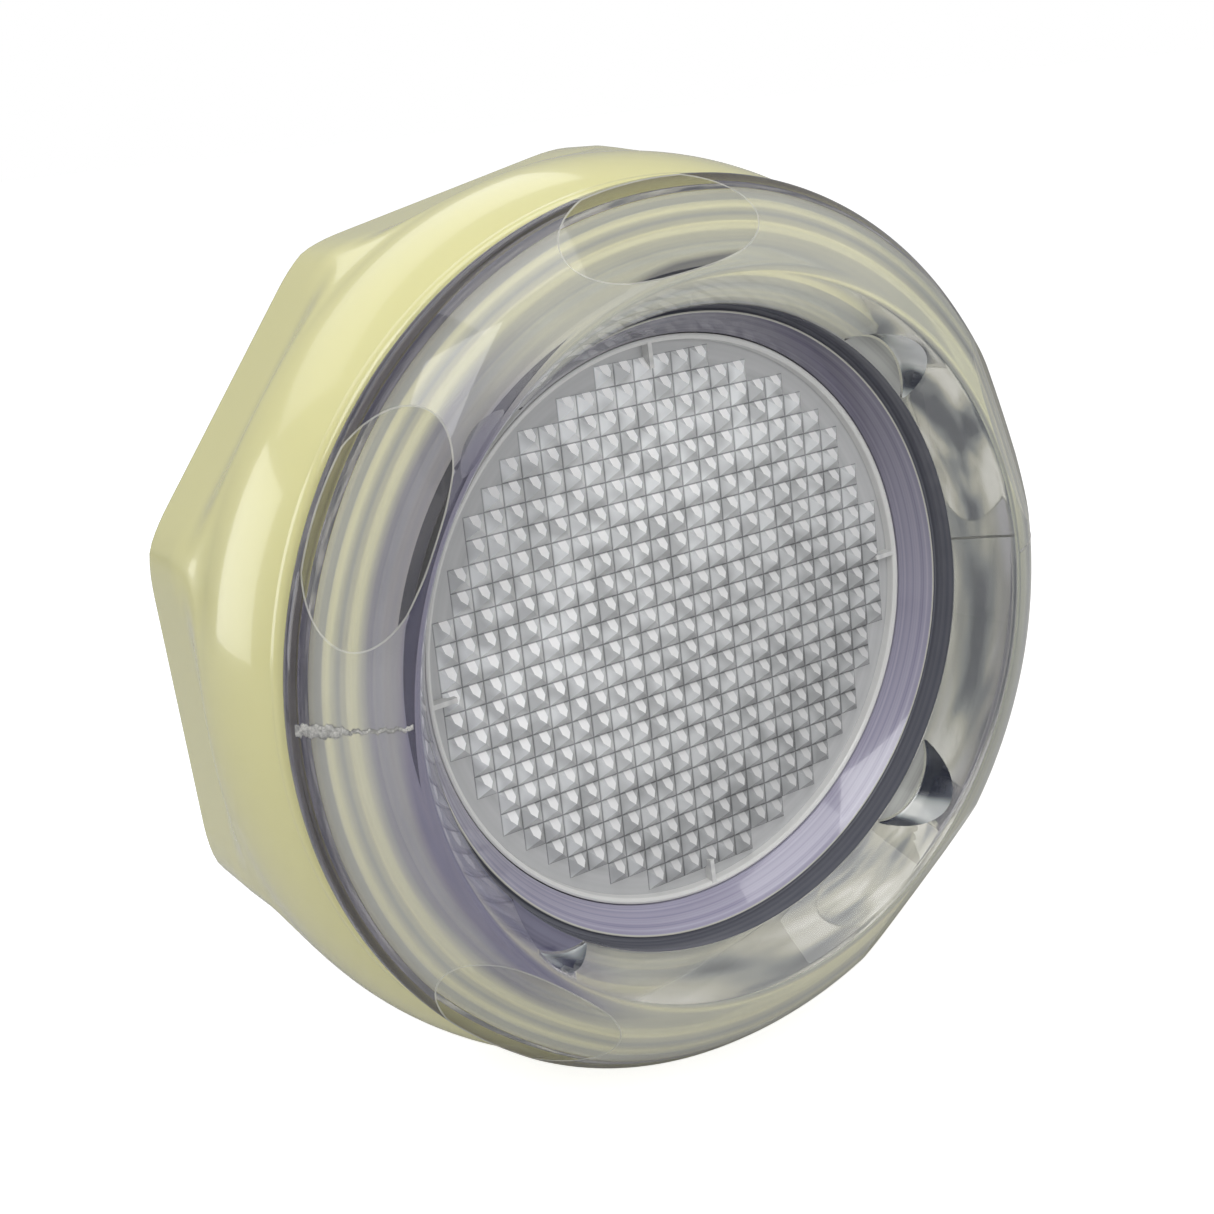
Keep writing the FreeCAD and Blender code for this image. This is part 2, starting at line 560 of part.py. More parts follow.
def hexagon(body, flats_token, front_token, depth_token, name):
    """A hexagonal pad whose flats are flats_token apart, from front_token backwards."""
    sk = new_sketch(body, "XZ_Plane", name)
    across = read(flats_token) / math.sqrt(3)
    corners = [(across * math.cos(math.radians(60 * k)), across * math.sin(math.radians(60 * k))) for k in range(6)]
    for k in range(6):
        a, b = corners[k], corners[(k + 1) % 6]
        sk.addGeometry(Part.LineSegment(FreeCAD.Vector(a[0], a[1], 0), FreeCAD.Vector(b[0], b[1], 0)))
    for k in range(6):
        sk.addConstraint(Sketcher.Constraint("Coincident", k, 2, (k + 1) % 6, 1))
    circle = sk.addGeometry(Part.Circle(FreeCAD.Vector(0, 0, 0), FreeCAD.Vector(0, 0, 1), across), True)
    sk.addConstraint(Sketcher.Constraint("Coincident", circle, 3, -1, 1))
    for k in range(6):
        sk.addConstraint(Sketcher.Constraint("PointOnObject", k, 1, circle))
        if k:
            sk.addConstraint(Sketcher.Constraint("Equal", 0, k))
    sk.addConstraint(Sketcher.Constraint("PointOnObject", 0, 1, -1))
    c = sk.addConstraint(Sketcher.Constraint("Radius", circle, across))
    sk.setExpression("Constraints[%d]" % c, "Params.%s / sqrt(3)" % flats_token)
    return sk


def hex_piece(label, flats_token, front_token, back_token, edge):
    """A hexagonal bar between two stations with its corners turned down at both ends."""
    body = new_body(label)
    sk = hexagon(body, flats_token, front_token, back_token, "hex")
    pad = body.newObject("PartDesign::Pad", "hex_pad")
    pad.Profile = sk
    pad.Length = read(back_token) - read(front_token)
    pad.setExpression("Length", "Params.%s - Params.%s" % (back_token, front_token))
    pad.Reversed = True
    body.Tip = pad
    body.Placement = FreeCAD.Placement(FreeCAD.Vector(0, read(front_token), 0), FreeCAD.Rotation())
    body.setExpression("Placement.Base.y", "Params.%s" % front_token)
    doc.recompute()
    return body


gland_hex = hex_piece("gland_hex", "gland_flats", "gland_flange_front", "gland_flange_back", 0.8)
gland_turned = new_body("gland_turned")
revolve(gland_turned, [
    ("gland_bore", "gland_tail"), ("gland_rad", "gland_tail"), ("gland_rad", "gland_flange_back-0.5"),
    ("gland_neck", "gland_flange_back-0.5"), ("gland_neck", "gland_neck_back"), ("gland_pocket", "gland_neck_back"),
    ("gland_pocket", "gland_pocket_front"), ("gland_bore", "gland_pocket_front"),
])
doc.recompute()
gland_fused = doc.addObject("Part::MultiFuse", "gland_fused")
gland_fused.Shapes = [gland_hex, gland_turned]
gland_drill = doc.addObject("Part::Cylinder", "gland_drill")
gland_drill.setExpression("Radius", "Params.gland_bore")
gland_drill.Height = 16
gland_drill.Placement = FreeCAD.Placement(FreeCAD.Vector(0, P["gland_flange_front"] - 1, 0), FreeCAD.Rotation(FreeCAD.Vector(1, 0, 0), -90))
gland_open = doc.addObject("Part::Cut", "gland_open")
gland_open.Base, gland_open.Tool = gland_fused, gland_drill
# the spherical turn that takes the sharp corners off the hexagon
gland_ball = new_body("gland_ball")
revolve(gland_ball, [
    ("0", "gland_tail"), ("11.4", "gland_tail"), ("11.4", "gland_flange_front"), ("12.2", "gland_flange_front+0.8"),
    ("12.2", "gland_flange_back-0.8"), ("11.4", "gland_flange_back"), ("11.4", "gland_neck_back"), ("0", "gland_neck_back"),
])
gland_body = doc.addObject("Part::MultiCommon", "gland_body")
gland_body.Label = "gland_body"
gland_body.Shapes = [gland_open, gland_ball]
doc.recompute()

ring("gland_gasket", "seat_inner", "seat_outer", "cover_back", "gland_flange_front")

lock_hex = hex_piece("gland_locknut_blank", "locknut_flats", "locknut_front", "locknut_back", 0.6)
lock_drill = doc.addObject("Part::Cylinder", "locknut_drill")
lock_drill.setExpression("Radius", "Params.gland_hole")
lock_drill.Height = 12
lock_drill.Placement = FreeCAD.Placement(FreeCAD.Vector(0, P["locknut_front"] - 2, 0), FreeCAD.Rotation(FreeCAD.Vector(1, 0, 0), -90))
locknut = doc.addObject("Part::Cut", "gland_locknut")
locknut.Label = "gland_locknut"
locknut.Base, locknut.Tool = lock_hex, lock_drill
doc.recompute()

clamp = new_body("gland_clamp")
revolve(clamp, [
    ("clamp_inner", "clamp_front"), ("clamp_outer-0.8", "clamp_front"), ("clamp_outer", "clamp_front+1.6"),
    ("clamp_outer", "clamp_back-1.2"), ("clamp_outer-1.2", "clamp_back"), ("clamp_inner", "clamp_back"),
])
cap_hex = hex_piece("gland_cap_blank", "cap_flats", "cap_front", "cap_back", 1.4)
cap_turn = new_body("gland_cap_turn")
revolve(cap_turn, [
    ("0", "cap_front"), ("11.6", "cap_front"), ("12.3", "cap_front+0.8"), ("12.3", "cap_back-4.4", "5.4", 1),
    ("9.0", "cap_back"), ("0", "cap_back"),
])
cap_bore_body = new_body("gland_cap_bore")
revolve(cap_bore_body, [
    ("0", "cap_front-1"), ("cap_bore", "cap_front-1"), ("cap_bore", "cap_roof"), ("cap_hole", "cap_roof"),
    ("cap_hole", "cap_back-0.6"), ("cap_hole+0.6", "cap_back"), ("cap_hole+0.6", "cap_back+1"), ("0", "cap_back+1"),
])
doc.recompute()
cap_round = doc.addObject("Part::MultiCommon", "gland_cap_round")
cap_round.Shapes = [cap_hex, cap_turn]
gland_nut = doc.addObject("Part::Cut", "gland_nut")
gland_nut.Label = "gland_nut"
gland_nut.Base, gland_nut.Tool = cap_round, cap_bore_body
doc.recompute()

# ---------------------------------------------------------------- terminals and leads
block_box = doc.addObject("Part::Box", "block_box")
for prop, name in (("Length", "block_wide"), ("Width", "block_deep"), ("Height", "block_high")):
    block_box.setExpression(prop, "Params." + name)
block_box.Placement = FreeCAD.Placement(FreeCAD.Vector(-P["block_wide"] / 2, P["block_y"], P["block_z"]), FreeCAD.Rotation())
mid_z = P["block_z"] + P["block_high"] / 2
drills = []
for i, x in enumerate((-1, 1)):
    d = doc.addObject("Part::Cylinder", "term_drill_%d" % i)
    d.Radius = P["term_rad"] + 0.1
    d.setExpression("Radius", "Params.term_rad + 0.1")
    d.setExpression("Height", "Params.term_depth + 2")
    d.Placement = FreeCAD.Placement(FreeCAD.Vector(x * P["term_x"], P["block_y"] - 1, mid_z), FreeCAD.Rotation(FreeCAD.Vector(1, 0, 0), -90))
    drills.append(d)
drill_pair = doc.addObject("Part::MultiFuse", "term_drills")
drill_pair.Shapes = drills
barrier = doc.addObject("Part::Box", "block_barrier")
barrier.Length, barrier.Width, barrier.Height = 1.4, 3.4, P["block_high"]
barrier.setExpression("Height", "Params.block_high")
barrier.Placement = FreeCAD.Placement(FreeCAD.Vector(-0.7, P["block_y"] - 2.8, P["block_z"]), FreeCAD.Rotation())
block_solid = doc.addObject("Part::MultiFuse", "block_solid")
block_solid.Shapes = [block_box, barrier]
block = doc.addObject("Part::Cut", "terminal_block")
block.Label = "terminal_block"
block.Base, block.Tool = block_solid, drill_pair

terms = []
for i, x in enumerate((-1, 1)):
    sh = doc.addObject("Part::Cylinder", "term_shank_%d" % i)
    sh.setExpression("Radius", "Params.term_rad")
    sh.setExpression("Height", "Params.term_depth")
    sh.Placement = FreeCAD.Placement(FreeCAD.Vector(x * P["term_x"], P["block_y"] - 0.9, mid_z), FreeCAD.Rotation(FreeCAD.Vector(1, 0, 0), -90))
    hd = doc.addObject("Part::Cylinder", "term_head_%d" % i)
    hd.setExpression("Radius", "Params.term_head")
    hd.setExpression("Height", "Params.term_head_height")
    hd.Placement = FreeCAD.Placement(FreeCAD.Vector(x * P["term_x"], P["block_y"] - 0.9 - P["term_head_height"], mid_z), FreeCAD.Rotation(FreeCAD.Vector(1, 0, 0), -90))
    sl = doc.addObject("Part::Box", "term_slot_%d" % i)
    sl.Length, sl.Width, sl.Height = 6.0, 0.8, 0.7
    sl.Placement = FreeCAD.Placement(FreeCAD.Vector(x * P["term_x"] - 3.0, P["block_y"] - 0.9 - P["term_head_height"] - 0.1, mid_z - 0.35), FreeCAD.Rotation())
    one = doc.addObject("Part::MultiFuse", "term_screw_%d" % i)
    one.Shapes = [sh, hd]
    two = doc.addObject("Part::Cut", "term_slotted_%d" % i)
    two.Base, two.Tool = one, sl
    terms.append(two)
terminal_screws = doc.addObject("Part::Compound", "terminal_screws")
terminal_screws.Label = "terminal_screws"
terminal_screws.Links = terms
doc.recompute()

leads = doc.addObject("Part::Feature", "lead_wires")
leads.Label = "lead_wires"
wires = []
for i, s in enumerate((-1, 1)):
    x0 = -3.3 if s < 0 else 3.3
    y_end = P["block_y"] - 0.9 - P["term_head_height"] - P["wire_rad"] - 0.02
    wires.append(wire_solid([
        (x0, P["holder_back"] + 3.1, 0), (x0 + s * 0.6, 60.6, -0.6), (s * 7.0, 61.6, -5.5), (s * 8.2, 61.0, -11.5),
        (s * 6.0, y_end, mid_z + 2.6), (s * P["term_x"], y_end, mid_z - 1.0)], P["wire_rad"]))
leads.Shape = Part.makeCompound(wires)
doc.recompute()

# ---------------------------------------------------------------- check and write
nodes = [
    "lens_housing", "prismatic_lens", "lens_seal", "wall_gasket", "slip_washer", "lock_nut", "rear_cover",
    "reflector", "cover_screws", "carrier_o_rings", "lamp_holder", "holder_contacts", "lamp_glass", "lamp_base",
    "lamp_filament", "lamp_supports", "gland_body", "gland_gasket", "gland_locknut", "gland_clamp", "gland_nut",
    "terminal_block", "terminal_screws", "lead_wires",
]
for o in doc.Objects:
    bad = [x for x in o.State if x in ("Invalid", "Error")]
    if bad:
        raise RuntimeError("%s is %s" % (o.Label, bad))
os.makedirs("parts", exist_ok=True)
for name in nodes:
    found = [o for o in doc.Objects if o.Label == name]
    if len(found) != 1:
        raise RuntimeError("%s: %d objects" % (name, len(found)))
    shape = found[0].Shape
    if shape.isNull() or not shape.isValid() or not shape.Solids:
        raise RuntimeError(name + " has no valid solid")
    print("%-18s solids %d volume %.1f box %s" % (name, len(shape.Solids), shape.Volume, shape.BoundBox))
    shape.exportStep("parts/%s.step" % name)
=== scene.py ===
import bpy
import bmesh
import json
import math
from mathutils import Matrix, Vector


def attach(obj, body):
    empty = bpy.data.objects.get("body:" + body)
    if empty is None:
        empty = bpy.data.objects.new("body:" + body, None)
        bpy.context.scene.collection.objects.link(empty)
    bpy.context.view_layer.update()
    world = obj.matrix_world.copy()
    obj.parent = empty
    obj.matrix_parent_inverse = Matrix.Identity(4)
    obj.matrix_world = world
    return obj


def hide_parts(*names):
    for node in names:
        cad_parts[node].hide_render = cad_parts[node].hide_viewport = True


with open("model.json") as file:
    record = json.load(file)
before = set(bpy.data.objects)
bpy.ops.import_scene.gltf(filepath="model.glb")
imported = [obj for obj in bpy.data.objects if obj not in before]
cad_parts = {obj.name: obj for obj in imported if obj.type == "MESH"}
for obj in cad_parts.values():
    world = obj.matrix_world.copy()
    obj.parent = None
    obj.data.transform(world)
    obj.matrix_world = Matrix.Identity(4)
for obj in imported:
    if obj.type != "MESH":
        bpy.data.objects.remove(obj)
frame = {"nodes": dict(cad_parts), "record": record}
MM = 0.001


def note():
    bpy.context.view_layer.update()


note()

# ------------------------------------------------------------------ geometry helpers


def rounded(points, steps=5):
    """A closed or open outline of (r, y, corner radius) with each corner rounded off."""
    out = []
    n = len(points)
    for i, p in enumerate(points):
        rad = p[2] if len(p) > 2 else 0.0
        if rad <= 0:
            out.append((p[0], p[1]))
            continue
        a, b, c = Vector(points[i - 1][:2]), Vector(p[:2]), Vector(points[(i + 1) % n][:2])
        u, v = (a - b), (c - b)
        lu, lv = u.length, v.length
        u, v = u / lu, v / lv
        half = math.acos(max(-1, min(1, u.dot(v)))) / 2
        d = min(rad / math.tan(half), lu * 0.48, lv * 0.48)
        rr = d * math.tan(half)
        centre = b + (u + v).normalized() * (rr / math.sin(half))
        s, e = b + u * d, b + v * d
        a0 = math.atan2(s.y - centre.y, s.x - centre.x)
        a1 = math.atan2(e.y - centre.y, e.x - centre.x)
        while a1 - a0 > math.pi:
            a1 -= 2 * math.pi
        while a1 - a0 < -math.pi:
            a1 += 2 * math.pi
        for k in range(steps + 1):
            t = a0 + (a1 - a0) * k / steps
            out.append((centre.x + rr * math.cos(t), centre.y + rr * math.sin(t)))
    return out


def divide(points, longest, closed=True):
    """Adds points along the long straight runs of an outline."""
    out = []
    n = len(points)
    for i in range(n if closed else n - 1):
        a, b = points[i], points[(i + 1) % n]
        m = max(1, int(math.ceil(math.hypot(b[0] - a[0], b[1] - a[1]) / longest)))
        for k in range(m):
            out.append((a[0] + (b[0] - a[0]) * k / m, a[1] + (b[1] - a[1]) * k / m))
    if not closed:
        out.append(points[-1])
    return out


def arc(x0, y0, x1, y1, rad, side, steps):
    """Points along an arc from (x0, y0) to (x1, y1), without the last one."""
    dx, dy = x1 - x0, y1 - y0
    half = math.hypot(dx, dy) / 2
    lift = math.sqrt(max(rad * rad - half * half, 0))
    cx = (x0 + x1) / 2 - side * dy / (2 * half) * lift
    cy = (y0 + y1) / 2 + side * dx / (2 * half) * lift
    a0, a1 = math.atan2(y0 - cy, x0 - cx), math.atan2(y1 - cy, x1 - cx)
    while a1 - a0 > math.pi:
        a1 -= 2 * math.pi
    while a1 - a0 < -math.pi:
        a1 += 2 * math.pi
    return [(cx + rad * math.cos(a0 + (a1 - a0) * k / steps), cy + rad * math.sin(a0 + (a1 - a0) * k / steps)) for k in range(steps)]


def smooth_by_angle(obj, degrees):
    """Smooth faces, with a crisp break wherever two faces meet at more than this angle."""
    me = obj.data
    for p in me.polygons:
        p.use_smooth = True
    bm = bmesh.new()
    bm.from_mesh(me)
    lim = math.radians(degrees)
    for e in bm.edges:
        e.smooth = not (len(e.link_faces) == 2 and e.calc_face_angle(0.0) > lim)
    bm.to_mesh(me)
    bm.free()


def mesh_object(name, verts, faces):
    me = bpy.data.meshes.new(name)
    me.from_pydata(verts, [], faces)
    me.validate()
    ob = bpy.data.objects.new(name, me)
    bpy.context.scene.collection.objects.link(ob)
    return ob


def fix_normals(ob):
    bm = bmesh.new()
    bm.from_mesh(ob.data)
    bmesh.ops.remove_doubles(bm, verts=bm.verts, dist=2e-7)
    bmesh.ops.recalc_face_normals(bm, faces=bm.faces)
    bm.to_mesh(ob.data)
    bm.free()


def lathe(name, outline_mm, segments=192, warp=None, angle=32, start=0.0):
    """Turns a closed outline of (r, y) in millimetres about the light's axis.
    warp(r, y, angle) may move a point: it returns a new (r, y)."""
    verts, faces = [], []
    n = len(outline_mm)
    for i in range(segments):
        t = start + 2 * math.pi * i / segments
        c, s = math.cos(t), math.sin(t)
        for r, y in outline_mm:
            if warp:
                r, y = warp(r, y, t)
            verts.append((r * c * MM, y * MM, r * s * MM))
    for i in range(segments):
        j = (i + 1) % segments
        for k in range(n):
            m = (k + 1) % n
            faces.append((i * n + k, i * n + m, j * n + m, j * n + k))
    ob = mesh_object(name, verts, faces)
    fix_normals(ob)
    bm = bmesh.new()
    bm.from_mesh(ob.data)
    bmesh.ops.dissolve_degenerate(bm, edges=bm.edges, dist=1e-7)
    bm.to_mesh(ob.data)
    bm.free()
    smooth_by_angle(ob, angle)
    return ob


def cut(ob, tool, keep=False):
    mod = ob.modifiers.new("cut", "BOOLEAN")
    mod.operation = "DIFFERENCE"
    mod.solver = "EXACT"
    mod.object = tool
    bpy.context.view_layer.update()
    dg = bpy.context.evaluated_depsgraph_get()
    new = bpy.data.meshes.new_from_object(ob.evaluated_get(dg))
    ob.modifiers.clear()
    old = ob.data
    ob.data = new
    bpy.data.meshes.remove(old)
    if not keep:
        bpy.data.objects.remove(tool)


# ------------------------------------------------------------------ materials


def material(name):
    m = bpy.data.materials.new(name)
    m.use_nodes = True
    nt = m.node_tree
    nt.nodes.clear()
    out = nt.nodes.new("ShaderNodeOutputMaterial")
    b = nt.nodes.new("ShaderNodeBsdfPrincipled")
    nt.links.new(b.outputs[0], out.inputs[0])
    return m, nt, b


def tex_noise(nt, scale, detail=3.0, rough=0.5, stretch=(1, 1, 1)):
    co = nt.nodes.new("ShaderNodeTexCoord")
    mp = nt.nodes.new("ShaderNodeMapping")
    mp.inputs["Scale"].default_value = stretch
    no = nt.nodes.new("ShaderNodeTexNoise")
    no.inputs["Scale"].default_value = scale
    no.inputs["Detail"].default_value = detail
    no.inputs["Roughness"].default_value = rough
    nt.links.new(co.outputs["Object"], mp.inputs[0])
    nt.links.new(mp.outputs[0], no.inputs["Vector"])
    return no


def ramp(nt, source, stops):
    r = nt.nodes.new("ShaderNodeValToRGB")
    while len(r.color_ramp.elements) < len(stops):
        r.color_ramp.elements.new(0.5)
    for e, (pos, col) in zip(r.color_ramp.elements, stops):
        e.position = pos
        e.color = (*col, 1) if len(col) == 3 else col
    nt.links.new(source, r.inputs[0])
    return r


def bump(nt, b, source, strength, distance):
    bp = nt.nodes.new("ShaderNodeBump")
    bp.inputs["Strength"].default_value = strength
    bp.inputs["Distance"].default_value = distance
    nt.links.new(source, bp.inputs["Height"])
    nt.links.new(bp.outputs[0], b.inputs["Normal"])
    return bp


def to_range(nt, source, lo, hi, a=0.0, b=1.0):
    mr = nt.nodes.new("ShaderNodeMapRange")
    mr.inputs["From Min"].default_value = a
    mr.inputs["From Max"].default_value = b
    mr.inputs["To Min"].default_value = lo
    mr.inputs["To Max"].default_value = hi
    nt.links.new(source, mr.inputs["Value"])
    return mr.outputs[0]


def plastic(name, dark, light, rough=(0.3, 0.42), noise=90, grain=0.06, coat=0.0, sss=0.0, sss_radius=(0.004, 0.0035, 0.002), spec=0.5):
    m, nt, b = material(name)
    n1 = tex_noise(nt, noise, 4)
    c = ramp(nt, n1.outputs["Fac"], [(0.3, dark), (0.7, light)])
    nt.links.new(c.outputs[0], b.inputs["Base Color"])
    n2 = tex_noise(nt, noise * 7, 3)
    nt.links.new(to_range(nt, n2.outputs["Fac"], rough[0], rough[1], 0.3, 0.7), b.inputs["Roughness"])
    if grain:
        bump(nt, b, n2.outputs["Fac"], grain, 0.0002)
    b.inputs["Coat Weight"].default_value = coat
    b.inputs["Coat Roughness"].default_value = 0.06
    b.inputs["Specular IOR Level"].default_value = spec
    if sss:
        b.inputs["Subsurface Weight"].default_value = sss
        b.inputs["Subsurface Radius"].default_value = (1.0, 0.9, 0.5)
        b.inputs["Subsurface Scale"].default_value = sss_radius[0]
    return m


def metal(name, col, rough=(0.18, 0.34), noise=300, stretch=(1, 1, 1), grain=0.04):
    m, nt, b = material(name)
    n1 = tex_noise(nt, noise, 4, 0.6, stretch)
    c = ramp(nt, n1.outputs["Fac"], [(0.25, tuple(x * 0.82 for x in col)), (0.75, col)])
    nt.links.new(c.outputs[0], b.inputs["Base Color"])
    nt.links.new(to_range(nt, n1.outputs["Fac"], rough[0], rough[1], 0.3, 0.7), b.inputs["Roughness"])
    b.inputs["Metallic"].default_value = 1.0
    if grain:
        bump(nt, b, n1.outputs["Fac"], grain, 0.0001)
    return m


def clear(name, tint, ior=1.58, rough=(0.0, 0.04), wave=0.0):
    m, nt, b = material(name)
    b.inputs["Base Color"].default_value = (*tint, 1)
    n1 = tex_noise(nt, 60, 2)
    nt.links.new(to_range(nt, n1.outputs["Fac"], rough[0], rough[1], 0.35, 0.7), b.inputs["Roughness"])
    b.inputs["Transmission Weight"].default_value = 1.0
    b.inputs["IOR"].default_value = ior
    if wave:
        n2 = tex_noise(nt, 28, 1.5)
        bump(nt, b, n2.outputs["Fac"], wave, 0.001)
    return m




def clear_edge(name, face, edge, blend=0.35, ior=1.58, rough=(0.0, 0.03), wave=0.0, trans=1.0):
    """Clear plastic whose colour deepens where the surface is seen edge on: painted shade, standing in for the darker
    surroundings mirrored at grazing angles.
    """
    m = clear(name, face, ior, rough, wave)
    nt = m.node_tree
    b = [n for n in nt.nodes if n.type == "BSDF_PRINCIPLED"][0]
    lw = nt.nodes.new("ShaderNodeLayerWeight")
    lw.inputs["Blend"].default_value = blend
    # painted shade: the tone darkens toward the edge colour as the surface turns edge on
    c = ramp(nt, lw.outputs["Facing"], [(0.35, face), (0.95, edge)])
    nt.links.new(c.outputs[0], b.inputs["Base Color"])
    b.inputs["Transmission Weight"].default_value = trans
    return m


def maths(nt, op, a, b=None):
    n = nt.nodes.new("ShaderNodeMath")
    n.operation = op
    for i, v in enumerate((a, b)):
        if v is None:
            continue
        if isinstance(v, (int, float)):
            n.inputs[i].default_value = v
        else:
            nt.links.new(v, n.inputs[i])
    return n.outputs[0]


def mix_colour(nt, mode, fac, a, b):
    n = nt.nodes.new("ShaderNodeMix")
    n.data_type = "RGBA"
    n.blend_type = mode
    for sock, v in ((n.inputs[0], fac), (n.inputs[6], a), (n.inputs[7], b)):
        if isinstance(v, (int, float)):
            sock.default_value = v
        elif isinstance(v, tuple):
            sock.default_value = (*v, 1)
        else:
            nt.links.new(v, sock)
    return n.outputs[2]


def axis_radius(nt):
    """Distance from the light's axis, and the place along it, in metres."""
    co = nt.nodes.new("ShaderNodeTexCoord")
    sp = nt.nodes.new("ShaderNodeSeparateXYZ")
    nt.links.new(co.outputs["Object"], sp.inputs[0])
    r = maths(nt, "SQRT", maths(nt, "ADD", maths(nt, "MULTIPLY", sp.outputs[0], sp.outputs[0]), maths(nt, "MULTIPLY", sp.outputs[2], sp.outputs[2])))
    return r, sp


def painted_light_slope(nt, sp, base, by_x, by_z, lo=0.5, hi=1.6):
    """Painted light and shade: a gentle change of tone across the face, lighter where the light falls more, as base +
    by_x * x + by_z * z, in metres.
    """
    v = maths(nt, "ADD", maths(nt, "MULTIPLY", sp.outputs[0], by_x), maths(nt, "MULTIPLY", sp.outputs[2], by_z))
    v = maths(nt, "MINIMUM", maths(nt, "MAXIMUM", maths(nt, "ADD", v, base), lo), hi)
    cb = nt.nodes.new("ShaderNodeCombineXYZ")
    for k in range(3):
        nt.links.new(v, cb.inputs[k])
    return cb.outputs[0]


def facet_material(name, tone, glint_tone=None, trans=0.12, rough=(0.12, 0.22)):
    """Prism facets: painted shade along the root lines between the cells, small cell-to-cell change, on the upward
    facets a painted highlight as a bright wedge down the middle of each, and a painted light slope brighter toward the
    top and the left. The tone passed in sets how lit the facet is (painted light and shade)."""
    m, nt, b = material(name)
    r, sp = axis_radius(nt)
    dx = maths(nt, "PINGPONG", sp.outputs[0], 0.00159)
    dz = maths(nt, "PINGPONG", sp.outputs[2], 0.00159)
    near = maths(nt, "MINIMUM", dx, dz)
    # painted shade: the root lines between the cells are darkened
    line = ramp(nt, maths(nt, "MULTIPLY", near, 1000.0), [(0.03, (0.42, 0.42, 0.43)), (0.15, (1, 1, 1))])
    cells = tex_noise(nt, 330, 0.0, 0.5)
    vary = ramp(nt, cells.outputs["Fac"], [(0.32, tuple(t * 0.80 for t in tone)), (0.68, tuple(min(1, t * 1.18) for t in tone))])
    col = vary.outputs[0]
    if glint_tone:
        # painted highlight: a bright wedge down the middle of each upward facet
        w = ramp(nt, maths(nt, "MULTIPLY", dx, 1000.0), [(0.92, (0, 0, 0)), (1.08, (1, 1, 1))])
        col = mix_colour(nt, "MIX", w.outputs[0], col, glint_tone)
    broad = tex_noise(nt, 22, 1.0, 0.5)
    shade = ramp(nt, broad.outputs["Fac"], [(0.35, (0.86, 0.86, 0.86)), (0.65, (1, 1, 1))])
    col = mix_colour(nt, "MULTIPLY", 1.0, col, line.outputs[0])
    col = mix_colour(nt, "MULTIPLY", 1.0, col, shade.outputs[0])
    # painted light: brighter toward the top and the left
    col = mix_colour(nt, "MULTIPLY", 1.0, col, painted_light_slope(nt, sp, 1.08, -5.0, 10.0))
    nt.links.new(col, b.inputs["Base Color"])
    nt.links.new(to_range(nt, cells.outputs["Fac"], rough[0], rough[1], 0.3, 0.7), b.inputs["Roughness"])
    b.inputs["Transmission Weight"].default_value = trans
    b.inputs["IOR"].default_value = 1.5
    return m


def ringed(name, low, high, scale, rough=(0.14, 0.26), trans=0.0, coat=0.0, bump_by=0.0, edge=None, light_slope=None):
    """A turned surface with fine rings of tone that run round the light's axis."""
    m, nt, b = material(name)
    r, sp = axis_radius(nt)
    cb = nt.nodes.new("ShaderNodeCombineXYZ")
    nt.links.new(maths(nt, "MULTIPLY", r, scale), cb.inputs[0])
    nt.links.new(maths(nt, "MULTIPLY", sp.outputs[1], scale * 0.7), cb.inputs[1])
    no = nt.nodes.new("ShaderNodeTexNoise")
    no.inputs["Scale"].default_value = 1.0
    no.inputs["Detail"].default_value = 3.0
    nt.links.new(cb.outputs[0], no.inputs["Vector"])
    c = ramp(nt, no.outputs["Fac"], [(0.34, low), (0.66, high)])
    col = c.outputs[0]
    if edge:
        lw = nt.nodes.new("ShaderNodeLayerWeight")
        lw.inputs["Blend"].default_value = 0.3
        col = mix_colour(nt, "MIX", lw.outputs["Facing"], col, edge)
    # light_slope, when given, multiplies the tone by a painted light slope: painted light and shade across the face
    if light_slope:
        col = mix_colour(nt, "MULTIPLY", 1.0, col, painted_light_slope(nt, sp, *light_slope))
    nt.links.new(col, b.inputs["Base Color"])
    nt.links.new(to_range(nt, no.outputs["Fac"], rough[0], rough[1], 0.3, 0.7), b.inputs["Roughness"])
    b.inputs["Transmission Weight"].default_value = trans
    b.inputs["Coat Weight"].default_value = coat
    if bump_by:
        bump(nt, b, no.outputs["Fac"], bump_by, 0.0002)
    return m


M = {}
M["clear_shell"] = clear_edge("clear_polycarbonate", (0.90, 0.895, 0.865), (0.46, 0.455, 0.49), 0.3, 1.46, (0.01, 0.03), 0.008, 0.88)


def tint(nt, b, mask, tone):
    old = b.inputs["Base Color"].links[0].from_socket
    nt.links.new(mix_colour(nt, "MIX", mask, old, tone), b.inputs["Base Color"])


def painted_recess_reflection(m, tone):
    """Painted reflection: where the crown stands before the recess, on the left, it is tinted with the recess's violet
    wall as seen through it.
    """
    nt = m.node_tree
    r, sp = axis_radius(nt)
    wob = tex_noise(nt, 45, 1.0)
    rr = maths(nt, "ADD", maths(nt, "MULTIPLY", r, 1000.0), maths(nt, "MULTIPLY", wob.outputs["Fac"], 1.2))
    near = to_range(nt, rr, 1.0, 0.0, 52.3, 53.4)
    side = to_range(nt, maths(nt, "MULTIPLY", sp.outputs[0], -1000.0), 0.0, 0.85, 22.0, 36.0)
    tint(nt, nt.nodes["Principled BSDF"], maths(nt, "MULTIPLY", near, side), tone)


